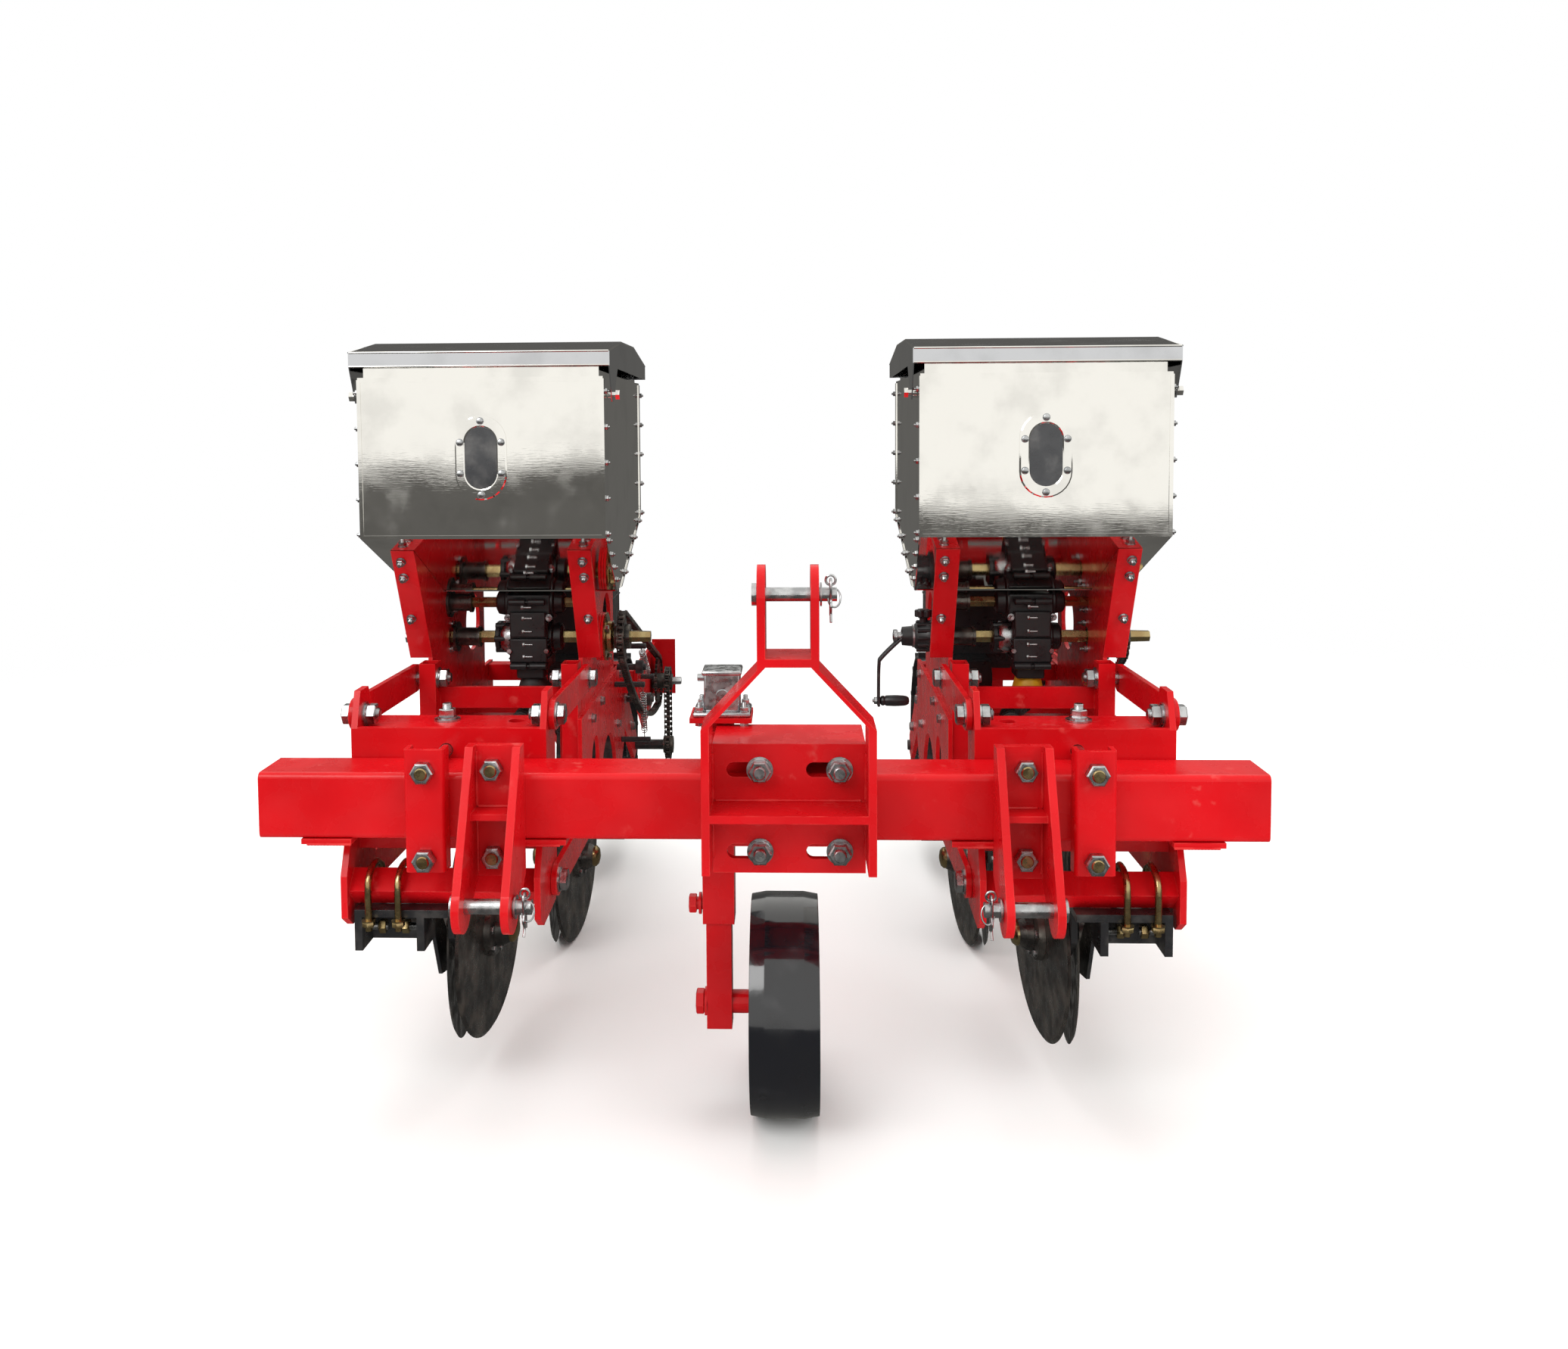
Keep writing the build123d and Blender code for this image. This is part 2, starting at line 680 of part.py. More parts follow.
def unit_frame(name, row, x):
    """Weldment of uprights, side plates, hopper supports, opener shank and drive bracket."""
    opener_x = x - row * opener_shift
    body = None
    out, inner = row_plate_out, plate_in
    side_outline = [
        (upright_front - 8, side_bottom_z), (upright_front - 8, side_top_z),
        (side_rear_y, side_top_z), (side_rear_y, -150), (930, side_bottom_z),
    ]
    slope = (hopper_knee - hopper_outlet_z) / (outlet_front - hopper_front)
    outlet_rear = outlet_front + outlet_length
    hopper_rear = hopper_front + hopper_depth
    rear_slope = (hopper_knee - hopper_outlet_z) / (hopper_rear - outlet_rear)
    front_top = 360.0
    top_z = hopper_knee - slope * (front_top - hopper_front) - face_gap
    rear_top = 838.0
    rear_z = hopper_knee - rear_slope * (hopper_rear - rear_top) - face_gap
    support = [
        (upright_rear, side_top_z - 20), (470, 130), (front_top, top_z),
        (outlet_front, hopper_outlet_z - face_gap), (outlet_rear, hopper_outlet_z - face_gap),
        (rear_top, rear_z), (support_rear_y, rear_z - 40), (support_rear_y, side_top_z - 20),
    ]
    lip = [(470, 130), (front_top, top_z), (front_top + 9, top_z - 4), (479, 134)]
    for side in (-1, 1):
        faces = sorted((x + side * inner, x + side * out))
        web = side_plate(side_outline, *faces)
        web -= rod_x(faces[0] - 1, faces[1] + 1, 738, side_bottom_z, 125)
        web -= rod_x(faces[0] - 1, faces[1] + 1, 560, -90, 50)
        stand = side_plate(support, *sorted((x + side * (inner - unit_plate), x + side * inner)))
        stand -= rod_x(x - 300, x + 300, 790, 150, 60)
        tube_faces = sorted((x + side * (inner - upright_wide), x + side * inner))
        tube = bar_tube(*tube_faces, upright_front, upright_rear, upright_bottom, upright_top, 3.5)
        edge = side_plate(lip, *sorted((x + side * (inner - 1), x + side * (inner + support_lip))))
        group = web + stand + tube + edge
        body = group if body is None else body + group
    reach = inner - upright_wide + 1
    body += block(x - reach, x + reach, upright_rear - 9, upright_rear - 1, 42, 82)
    body += block(x - inner, x + inner, 958, 998, -10, 26)
    body += block(x - inner, x + inner, 640, 700, -38, -26) + block(x - inner, x + inner, 752, 798, -66, -26)
    shank = [
        (752, -40), (798, -40), (798, -200), (seed_disc_y + 34, seed_disc_z), (seed_disc_y, seed_disc_z - 30),
        (seed_disc_y - 34, seed_disc_z), (752, -200),
    ]
    body += side_plate(shank, opener_x - 6, opener_x + 6) + coulter_axles(opener_x, seed_disc_y, seed_disc_z)
    guard_y = counter_y + 75
    bracket = [(960, -60), (960, 20), (guard_y - 2, 10), (guard_y - 2, -120), (1100, -150)]
    drive_in, drive_out = x + drive_x - 22, x + drive_x - 14
    body += side_plate(bracket, drive_in, drive_out)
    body += block(x + out - 1, drive_in + 1, 962, 990, -40, 10)
    body += block(drive_in, x + second_drive_x + 12, guard_y - 2, guard_y + 2, -120, 18)
    for y, z in ((rear_pivot_y, rear_upper_z), (rear_pivot_y, rear_lower_z)):
        body -= rod_x(x - 300, x + 300, y, z, link_bolt / 2 + running_gap)
    body -= hex_x(x - inner - 20, x + out + 20, shaft_y, shaft_z, shaft_size + 14)
    body -= rod_x(drive_in - 5, drive_out + 5, counter_y, counter_z, 10 + running_gap)
    keep(f"{name}_unit_frame", body)


def unit_bolts(name, x):
    """Rear pivot bolts of the four links."""
    bolts = []
    for side in (-1, 1):
        head = x + side * (row_plate_out + 0.5 + link_thick)
        end = x + side * (plate_in - upright_wide)
        for z in (rear_upper_z, rear_lower_z):
            bolts.append(pivot_bolt(head, end, rear_pivot_y, z))
    keep(f"{name}_unit_bolts", *bolts)


def hopper_shell(x, shrink):
    """The hopper's outer form, or its inside when it is shrunk by a wall."""
    half = hopper_width / 2 - shrink
    front, rear = hopper_front + shrink, hopper_front + hopper_depth - shrink
    mouth_z = hopper_top + (1 if shrink else 0)
    box = block(x - half, x + half, front, rear, hopper_knee, mouth_z)
    out_front = outlet_front + shrink
    out_rear = outlet_front + outlet_length - shrink
    low_half = half - outlet_taper
    low_z = hopper_outlet_z - (1 if shrink else 0)
    knee = Pos(x, (front + rear) / 2, hopper_knee) * Rectangle(2 * half, rear - front)
    low = Pos(x, (out_front + out_rear) / 2, low_z) * Rectangle(2 * low_half, out_rear - out_front)
    return box + loft([low, knee])


def fertiliser_hopper(name, x):
    """Thin sheet hopper with a neck under the lid, a trough bottom and lid pivots."""
    body = hopper_shell(x, 0) - hopper_shell(x, sheet)
    half = hopper_width / 2
    front, rear = hopper_front, hopper_front + hopper_depth
    rim = block(x - half, x + half, front, rear, hopper_top - 3, hopper_top)
    neck_half = half - neck_inset
    neck = block(
        x - neck_half, x + neck_half, front + neck_inset, rear - neck_inset,
        hopper_top - 3, hopper_top + neck_height,
    )
    inner_half = neck_half - sheet
    hole = block(
        x - inner_half, x + inner_half, front + neck_inset + sheet, rear - neck_inset - sheet,
        hopper_top - 30, hopper_top + neck_height + 1,
    )
    body += rim + neck
    body -= hole
    floor_half = half - outlet_taper - sheet
    floor = block(
        x - floor_half - 1, x + floor_half + 1, outlet_front + 1, outlet_front + outlet_length - 1,
        hopper_outlet_z, hopper_outlet_z + sheet,
    )
    meter_x = x + meter_shift
    floor -= block(
        meter_x - 30, meter_x + 30, outlet_front + 14, outlet_front + outlet_length - 14,
        hopper_outlet_z - 5, hopper_outlet_z + 9,
    )
    body += floor
    for side in (-1, 1):
        wall = x + side * half
        pin_end = wall + side * (lid_overhang + 6)
        body += rod_x(wall - side * sheet, pin_end, lid_pivot_y, lid_pivot_z, 5)
        body += hex_x(pin_end - side, pin_end + side * 6, lid_pivot_y, lid_pivot_z, 16)
        body += rod_x(wall - side, wall + side * (lid_overhang - 3), lid_pivot_y, lid_pivot_z, 9)
    keep(f"{name}_fertiliser_hopper", body)


def hopper_window(name, x):
    """Stadium-shaped frame with six bolt heads, and the pane behind its opening."""
    slot = Plane.XZ * (Rot(0, 0, 90) * SlotOverall(window_tall, window_wide))
    inner = Plane.XZ * (Rot(0, 0, 90) * SlotOverall(window_tall - 39, window_wide - 34))
    ring = extrude(slot, 3, dir=(0, -1, 0)) - extrude(inner, 3, dir=(0, -1, 0))
    pane = extrude(inner, 1.2, dir=(0, -1, 0))
    for dx, dz in ((0, 64), (0, -64), (36, 27), (-36, 27), (36, -27), (-36, -27)):
        ring += hex_y(dx, -9, -2.5, dz, 11)
    place = Pos(x, hopper_front, window_z)
    keep(f"{name}_hopper_window", place * ring, place * pane)


def hopper_lid(name, x):
    """Folded lid: front skirt, slope, flat top, slope, rear skirt, closed ends with pivot ears."""
    half = hopper_width / 2 + lid_overhang
    front = hopper_front - lid_front_gap
    rear = hopper_front + hopper_depth + lid_front_gap
    low = lid_eaves_z - lid_skirt
    ridge = lid_eaves_z + lid_rise
    outline = [
        (front, low), (front, lid_eaves_z), (front + 155, ridge), (rear - 200, ridge),
        (rear, lid_eaves_z - 6), (rear, low - 10),
    ]
    inside = [
        (front + sheet, low - 20), (front + sheet, lid_eaves_z - sheet), (front + 155, ridge - sheet),
        (rear - 200, ridge - sheet), (rear - sheet, lid_eaves_z - 6 - sheet), (rear - sheet, low - 20),
    ]
    lid = side_plate(outline, x - half, x + half)
    lid -= side_plate(inside, x - half + sheet, x + half - sheet)
    ear = [
        (front, low + 1), (lid_pivot_y - 10, lid_pivot_z - 12), (lid_pivot_y + 10, lid_pivot_z - 12),
        (front + 110, low + 1),
    ]
    for side in (-1, 1):
        faces = sorted((x + side * (half - sheet), x + side * half))
        lid += side_plate(ear, *faces)
    lid -= rod_x(x - half - 5, x + half + 5, lid_pivot_y, lid_pivot_z, 5 + running_gap)
    keep(f"{name}_hopper_lid", lid)


def fertiliser_meter(name, x):
    """Meter housing under the hopper, with its outlet cone, and the rate adjuster's hub."""
    mx, half = x + meter_shift, meter_width / 2
    front, rear = shaft_y - 50, shaft_y + 40
    body = block(mx - half, mx + half, front, rear, 88, 214)
    body += block(mx - half - 4, mx + half + 4, front - 5, rear + 4, 214, hopper_outlet_z - 7)
    body += block(mx - 34, mx + 34, shaft_y - 24, shaft_y + 24, hopper_outlet_z - 8, hopper_outlet_z)
    body += rod_x(mx - half - 16, mx + half + 16, shaft_y, shaft_z, 33)
    body += rod_x(mx - 30, mx + 30, front - 2, 112, 9) + rod_x(mx - 30, mx + 30, front - 2, 190, 7)
    body -= block(mx - 26, mx + 26, shaft_y - 24, shaft_y + 24, 90, hopper_outlet_z + 1)
    body -= rod_x(mx - 90, mx + 90, shaft_y, shaft_z, 15)
    body += rod_z(mx, shaft_y, 74, 90, 26) - rod_z(mx, shaft_y, 70, 95, 20)
    body -= rod_z(mx, shaft_y, 70, 95, 20)
    out = row_plate_out
    hub = rod_x(x - out - 8, x - plate_in + unit_plate, shaft_y, shaft_z, 17)
    hub += rod_x(x - out - 8, x - out - 0.5, shaft_y, shaft_z, 38)
    hub += rod_x(x - out - 40, x - out - 8, shaft_y, shaft_z, 27)
    hub += rod_x(x - out - 66, x - out - 40, shaft_y, shaft_z, 21)
    hub += rod_z(x - out - 24, shaft_y, shaft_z + 20, shaft_z + 50, 8)
    hub += rod_z(x - out - 24, shaft_y, shaft_z + 40, shaft_z + 52, 16)
    hub -= rod_x(x - out - 70, x - out - 55, shaft_y, shaft_z, 8 + running_gap)
    hub -= rod_x(x - out - 50, x - plate_in + 20, shaft_y, shaft_z, 13.5)
    keep(f"{name}_fertiliser_meter", body, hub)


def fertiliser_shaft(name, x):
    """Hexagon shaft with its collars, metering roller and drive sprocket."""
    start = x - row_plate_out - 36
    body = hex_x(start, x + shaft_end_x, shaft_y, shaft_z, shaft_size)
    body += rod_x(x - 120, x - 96, shaft_y, shaft_z, 18)
    body += rod_x(x + meter_shift - 25, x + meter_shift + 25, shaft_y, shaft_z, 14.5)
    body += rod_x(x + drive_x - 14, x + drive_x - 3, shaft_y, shaft_z, 19)
    body += sprocket_disc(x + drive_x, shaft_y, shaft_z, meter_teeth)
    keep(f"{name}_fertiliser_shaft", body)


def shaft_bearing(name, x):
    """Flanged bearing cup on the drive side plate, on its packing rings."""
    out = x + row_plate_out
    body = rod_x(out, out + 6, shaft_y, shaft_z, 46) + rod_x(out + 6, out + 30, shaft_y, shaft_z, 25)
    body += rod_x(out - unit_plate - 7, out, shaft_y, shaft_z, 17.5)
    body -= rod_x(out - 40, out + 40, shaft_y, shaft_z, shaft_size / sqrt(3) + running_gap)
    keep(f"{name}_shaft_bearing", body)


def rate_crank(name, x):
    """Cranked handle on the adjuster, hanging down, with a turned grip."""
    hub_x = x - row_plate_out - 66
    elbow_x = hub_x - 46
    tip_z = shaft_z - 126
    body = rod_x(hub_x - 8, hub_x - 0.5, shaft_y, shaft_z, 15)
    body += rod_x(hub_x - 18, hub_x + 10.5, shaft_y, shaft_z, 8)
    arm = [
        (hub_x - 1, shaft_z - 6), (elbow_x, shaft_z - 48), (elbow_x, tip_z - 12),
        (elbow_x - 5, tip_z - 12), (elbow_x - 5, shaft_z - 45), (hub_x - 7, shaft_z - 1),
    ]
    body += front_plate(arm, shaft_y - 12, shaft_y + 12)
    body += rod_x(elbow_x - 12, elbow_x + 58, shaft_y, tip_z, 10)
    keep(f"{name}_rate_crank", body)


def seed_hopper(name, row, x):
    """Rear seed hopper with walls and an open top, its hinged lid, and the seed meter below."""
    cx, half = x - row * 20, seed_hopper_width / 2
    front, rear = seed_hopper_front, seed_hopper_front + seed_hopper_depth
    top, low, wall = seed_hopper_top, seed_hopper_bottom, 4.0
    body = block(cx - half + 10, cx + half - 10, front, rear, low, top)
    inside = half - 10 - wall
    body -= block(cx - inside, cx + inside, front + wall, rear - wall, low + wall, top + 1)
    for side in (-1, 1):
        hinge_x = cx + side * 60
        body += block(hinge_x - 10, hinge_x + 10, rear - 1, rear + 14, top - 26, top - 6)
    body += rod_x(cx - 70, cx + 70, rear + 9, top - 12, 3)
    keep(f"{name}_seed_hopper", body)
    lid = block(cx - half, cx + half, front - 10, rear + 3, top + 0.4, top + 16)
    lid -= block(cx - half + wall, cx + half - wall, front - 10 + wall, rear, top, top + 12)
    lid += block(cx - 24, cx + 24, rear + 2, rear + 16, top - 12, top + 10)
    lid += rod_x(cx - 24, cx + 24, rear + 9, top - 12, 7)
    lid -= rod_x(cx - 80, cx + 80, rear + 9, top - 12, 3 + running_gap)
    keep(f"{name}_seed_hopper_lid", lid)
    ox = x - row * opener_shift
    meter = block(ox - 40, ox + 40, 810, 950, -24, low)
    meter += rod_x(ox - 48, ox + 48, 880, 12, 34)
    meter += block(cx - 60, cx + 60, front + 10, front + 90, 27, low)
    meter -= block(ox - 28, ox + 28, 822, 938, -10, low - 8)
    meter += block(ox - 15, ox + 15, 812, 846, -180, -10) - block(ox - 11, ox + 11, 816, 842, -181, -5)
    keep(f"{name}_seed_meter", meter)


def countershaft(name, x):
    """Stub shaft of the chain drive with a large and a small sprocket."""
    start = x + drive_x - 26
    body = rod_x(start, x + second_drive_x + 6, counter_y, counter_z, 10)
    body += rod_x(x + drive_x - 13.5, x + drive_x, counter_y, counter_z, 18)
    body += rod_x(start - 6, start, counter_y, counter_z, 15)
    body += sprocket_disc(x + drive_x, counter_y, counter_z, counter_teeth)
    body += rod_x(x + drive_x, x + second_drive_x, counter_y, counter_z, 17)
    body += sprocket_disc(x + second_drive_x, counter_y, counter_z, wheel_teeth)
    body += hex_x(x + second_drive_x, x + shaft_end_x + 3, counter_y, counter_z, 17)
    keep(f"{name}_countershaft", body)


def drive_chains(name, x):
    """Long chain to the fertiliser shaft and short chain to the press wheel."""
    shaft = (shaft_y, shaft_z, meter_teeth)
    counter = (counter_y, counter_z, counter_teeth)
    small = (counter_y, counter_z, wheel_teeth)
    wheel = (press_y, press_z, wheel_teeth)
    long_chain = chain_loop(x + drive_x, (shaft, counter))
    short_chain = chain_loop(x + second_drive_x, (small, wheel))
    keep(f"{name}_drive_chains", long_chain, short_chain)


def wheel_arm(name, row, x):
    """Two bars from the unit's rear cross tube down to the press wheel's axle."""
    cx = x - row * opener_shift
    outline = [
        (966, -11), (1040, -11), (press_y + 26, press_z + 20), (press_y + 26, press_z - 20),
        (press_y - 16, press_z - 30), (966, -80),
    ]
    body = block(cx - 89.5, cx + 89.5, 966, 990, -40, -10.2)
    for side in (-1, 1):
        body += side_plate(outline, *sorted((cx + side * 79.5, cx + side * 89.5)))
    body -= rod_x(cx - 200, cx + 200, press_y, press_z, press_axle / 2 + running_gap)
    keep(f"{name}_wheel_arm", body)


def press_wheel(name, row, x):
    """Rear drive wheel with lugs, on its axle, with the first sprocket of the chain drive."""
    cx, half = x - row * opener_shift, press_width / 2
    rim_radius = press_radius - 12
    rim = rod_x(cx - half, cx + half, 0, 0, rim_radius)
    rim -= rod_x(cx - half - 1, cx + half + 1, 0, 0, rim_radius - 6)
    web = rod_x(cx - 4, cx + 4, 0, 0, rim_radius - 1)
    for turn in range(6):
        angle = radians(60 * turn + 30)
        web -= rod_x(cx - 9, cx + 9, 130 * cos(angle), 130 * sin(angle), 44)
    wheel = rim + web + rod_x(cx - half, cx + half, 0, 0, 32)
    for lug in range(press_lugs):
        lug_box = block(cx - half, cx + half, -4, 4, rim_radius - 3, press_radius)
        wheel += Rot(360 / press_lugs * lug, 0, 0) * lug_box
    axle_low = min(cx - 96, x - 40)
    wheel += rod_x(axle_low, x + second_drive_x + 8, 0, 0, press_axle / 2)
    wheel += rod_x(x + second_drive_x - 3, x + second_drive_x + 3, 0, 0, sprocket_radius(wheel_teeth) - 4.5)
    keep(f"{name}_press_wheel", Pos(0, press_y, press_z) * wheel)


def fertiliser_hose(name, row, x):
    """Outlet boot and drop tube from the meter, down and forward into the opener's funnel."""
    start_x, end_x = x + meter_shift, x - row * 30
    points = [
        (start_x, shaft_y, 69), (start_x, shaft_y, 24), (end_x, 420, 16), (end_x, 204, 14),
        (end_x, 204, -92),
    ]
    path = FilletPolyline(*points, radius=[34, 90, 24])
    mouth = Plane(origin=path @ 0, z_dir=path % 0)
    tube = sweep(mouth * Circle(18), path) - sweep(mouth * Circle(14), path)
    cone = Pos(start_x, shaft_y, 56) * Cone(20, 30, 34) - Pos(start_x, shaft_y, 56) * Cone(15, 22, 34.2)
    keep(f"{name}_fertiliser_hose", tube, cone)


def row_unit(name, row):
    x = row * row_spacing / 2
    opener_x = x - row * opener_shift
    links(name, x)
    pressure_spring(name, row, x)
    unit_frame(name, row, x)
    unit_bolts(name, x)
    fertiliser_hopper(name, x)
    hopper_window(name, x)
    hopper_lid(name, x)
    fertiliser_meter(name, x)
    fertiliser_shaft(name, x)
    shaft_bearing(name, x)
    if row > 0:
        rate_crank(name, x)
    seed_hopper(name, row, x)
    countershaft(name, x)
    drive_chains(name, x)
    wheel_arm(name, row, x)
    press_wheel(name, row, x)
    fertiliser_hose(name, row, x)
    for side in (-1, 1):
        place = "outer" if side == row else "inner"
        disc = coulter(opener_x, seed_disc_y, seed_disc_z, side, seed_disc_radius)
        keep(f"{name}_{place}_seed_disc", disc)


# ---------------------------------------------------------------- assembly and export

toolbar()
hitch_mast()
hitch_pins()
frame_plates()
frame_bolts()
post_sleeve()
post_cap()
gauge_wheel()
fertiliser_openers()
row_unit("left", -1)
row_unit("right", 1)

front_reach = lower_pin_y - lower_boss
rear_reach = press_y + press_radius
centre_shift = -(front_reach + rear_reach) / 2
os.makedirs("parts", exist_ok=True)
for node, solids in parts.items():
    export_step(Pos(0, centre_shift, bar_height) * solids, f"parts/{node}.step")
print(len(parts), "parts, moved by", centre_shift, bar_height)
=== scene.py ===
"""Two-row corn planter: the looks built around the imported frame.  Metres, +Z up."""

import json
from math import atan2, cos, pi, radians, sin, sqrt

import bmesh
import bpy
from mathutils import Matrix, Vector

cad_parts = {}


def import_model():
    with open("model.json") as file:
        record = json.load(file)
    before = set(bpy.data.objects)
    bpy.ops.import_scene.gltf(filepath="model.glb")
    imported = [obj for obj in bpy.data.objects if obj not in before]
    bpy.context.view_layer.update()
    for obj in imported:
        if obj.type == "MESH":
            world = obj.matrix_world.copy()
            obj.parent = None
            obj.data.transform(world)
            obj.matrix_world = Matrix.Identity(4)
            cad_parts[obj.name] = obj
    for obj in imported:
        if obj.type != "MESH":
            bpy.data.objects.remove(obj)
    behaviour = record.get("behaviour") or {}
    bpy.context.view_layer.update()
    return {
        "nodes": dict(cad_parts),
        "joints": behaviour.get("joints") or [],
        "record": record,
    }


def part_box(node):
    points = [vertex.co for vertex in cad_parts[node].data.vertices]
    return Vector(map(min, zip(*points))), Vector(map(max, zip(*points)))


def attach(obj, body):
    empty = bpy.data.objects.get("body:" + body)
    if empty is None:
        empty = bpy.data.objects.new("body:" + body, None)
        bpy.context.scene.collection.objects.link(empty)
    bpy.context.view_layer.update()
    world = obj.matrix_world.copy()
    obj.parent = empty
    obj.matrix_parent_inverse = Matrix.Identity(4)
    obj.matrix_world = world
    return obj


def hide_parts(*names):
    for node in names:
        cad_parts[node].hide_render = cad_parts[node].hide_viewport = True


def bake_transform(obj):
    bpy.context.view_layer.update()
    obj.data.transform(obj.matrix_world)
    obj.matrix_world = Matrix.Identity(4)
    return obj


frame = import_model()
nodes = frame["nodes"]
joints = {joint["name"]: joint for joint in frame["joints"]}

MM = 0.001
ROWS = (("left", -1), ("right", 1))


def middle(node):
    low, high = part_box(node)
    return (low + high) / 2


BEAM = middle("toolbar")
X, Y, Z = Vector((1, 0, 0)), Vector((0, 1, 0)), Vector((0, 0, 1))


def pivot(name):
    return Vector(joints[name]["pos_m"])


def local(point):
    """A point of the frame in millimetres from the toolbar's middle."""
    return (Vector(point) - BEAM) / MM


def local_box(node):
    """A node's low and high corners in millimetres from the toolbar's middle."""
    low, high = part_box(node)
    return local(low), local(high)


# ---------------------------------------------------------------- sizes in millimetres

ROW_X = abs(local(pivot("left_unit_lift")).x)
HITCH_X = 388.0
HITCH_FRONT = -62.0
PLATE_OUT = 154.0
UNIT_PLATE = 8.0
PLATE_IN = PLATE_OUT - UNIT_PLATE
CHAIN_PITCH = 12.7
METER_TEETH, COUNTER_TEETH, WHEEL_TEETH = 23, 29, 15
DRIVE_X, SECOND_DRIVE_X = 203.5, 228.5
SHAFT_SIZE = 22.0
METER_SHIFT = 25.0
OPENER_SHIFT = 56.5
SPRING_TOP, SPRING_FOOT = (138.0, 67.0), (372.0, -166.0)
HOPPER_WIDTH, HOPPER_FRONT = 428.0, 305.0
HOPPER_TOP, HOPPER_KNEE, HOPPER_OUTLET = 650.0, 370.0, 242.0
OUTLET_FRONT, OUTLET_LENGTH = 572.0, 78.0
LID_SKIRT, LID_EAVES = 669.0, 693.0


def pitch_radius(teeth):
    return CHAIN_PITCH / (2 * sin(pi / teeth))


# ---------------------------------------------------------------- materials

class Look:
    """A principled material and short ways to add procedural patterns to it."""

    def __init__(self, name, color, metal=0.0, rough=0.4, coat=0.0, coat_rough=0.05, ior=1.5):
        self.material = bpy.data.materials.new(name)
        self.material.use_nodes = True
        self.tree = self.material.node_tree
        self.shader = self.tree.nodes["Principled BSDF"]
        self.set("Base Color", (*color, 1))
        self.set("Metallic", metal)
        self.set("Roughness", rough)
        self.set("Coat Weight", coat)
        self.set("Coat Roughness", coat_rough)
        self.set("IOR", ior)
        self.place = self.node("TexCoord").outputs["Object"]
        self.normal = None

    def set(self, socket, value):
        self.shader.inputs[socket].default_value = value

    def node(self, kind, **values):
        made = self.tree.nodes.new("ShaderNode" + kind)
        for key, value in values.items():
            setattr(made, key, value)
        return made

    def link(self, source, target):
        self.tree.links.new(source, target)

    def noise(self, scale, detail=4.0, stretch=None):
        """A noise pattern, stretched along an axis when stretch gives three factors."""
        made = self.node("TexNoise")
        made.inputs["Scale"].default_value = scale
        made.inputs["Detail"].default_value = detail
        source = self.place
        if stretch:
            mapping = self.node("Mapping")
            mapping.inputs["Scale"].default_value = stretch
            self.link(source, mapping.inputs["Vector"])
            source = mapping.outputs["Vector"]
        self.link(source, made.inputs["Vector"])
        return made.outputs["Fac"]

    def ramp(self, source, low, high, dark=0.0, light=1.0):
        """Maps source from low..high to dark..light, smoothly."""
        made = self.node("MapRange", interpolation_type="SMOOTHSTEP")
        for key, value in (("From Min", low), ("From Max", high), ("To Min", dark), ("To Max", light)):
            made.inputs[key].default_value = value
        self.link(source, made.inputs["Value"])
        return made.outputs["Result"]

    def times(self, one, other):
        made = self.node("Math", operation="MULTIPLY")
        self.link(one, made.inputs[0])
        self.link(other, made.inputs[1])
        return made.outputs["Value"]

    def mix(self, factor, one, other):
        """A colour between one and other, each a colour or a socket."""
        made = self.node("Mix", data_type="RGBA")
        self.link(factor, made.inputs["Factor"])
        for name, value in (("A", one), ("B", other)):
            socket = next(s for s in made.inputs if s.name == name and s.type == "RGBA")
            if isinstance(value, tuple):
                socket.default_value = (*value, 1)
            else:
                self.link(value, socket)
        return next(s for s in made.outputs if s.type == "RGBA")

    def colour(self, socket):
        self.link(socket, self.shader.inputs["Base Color"])

    def patches(self, scale, detail, low, high, one, other):
        """Colours the surface one, with soft patches of other."""
        self.colour(self.mix(self.ramp(self.noise(scale, detail), low, high), one, other))

    def uneven_gloss(self, scale, detail, low, high, smooth, rough):
        """Varies the roughness between smooth and rough."""
        spots = self.ramp(self.noise(scale, detail), low, high, smooth, rough)
        self.link(spots, self.shader.inputs["Roughness"])

    def bump(self, height, distance, strength=1.0):
        """Adds one layer of relief on top of the ones before it."""
        made = self.node("Bump")
        made.inputs["Distance"].default_value = distance
        made.inputs["Strength"].default_value = strength
        self.link(height, made.inputs["Height"])
        if self.normal:
            self.link(self.normal, made.inputs["Normal"])
        self.normal = made.outputs["Normal"]
        self.link(self.normal, self.shader.inputs["Normal"])

    def soft_edges(self, radius):
        """Rounds the shading of plate edges, as paint and deburring leave them."""
        made = self.node("Bevel", samples=4)
        made.inputs["Radius"].default_value = radius
        self.normal = made.outputs["Normal"]
        self.link(self.normal, self.shader.inputs["Normal"])

    def edge_mask(self, radius):
        """1 along sharp edges and 0 on faces."""
        bevel = self.node("Bevel", samples=4)
        bevel.inputs["Radius"].default_value = radius
        flat = self.node("NewGeometry").outputs["Normal"]
        dot = self.node("VectorMath", operation="DOT_PRODUCT")
        self.link(bevel.outputs["Normal"], dot.inputs[0])
        self.link(flat, dot.inputs[1])
        return self.ramp(dot.outputs["Value"], 0.93, 0.995, 1.0, 0.0)


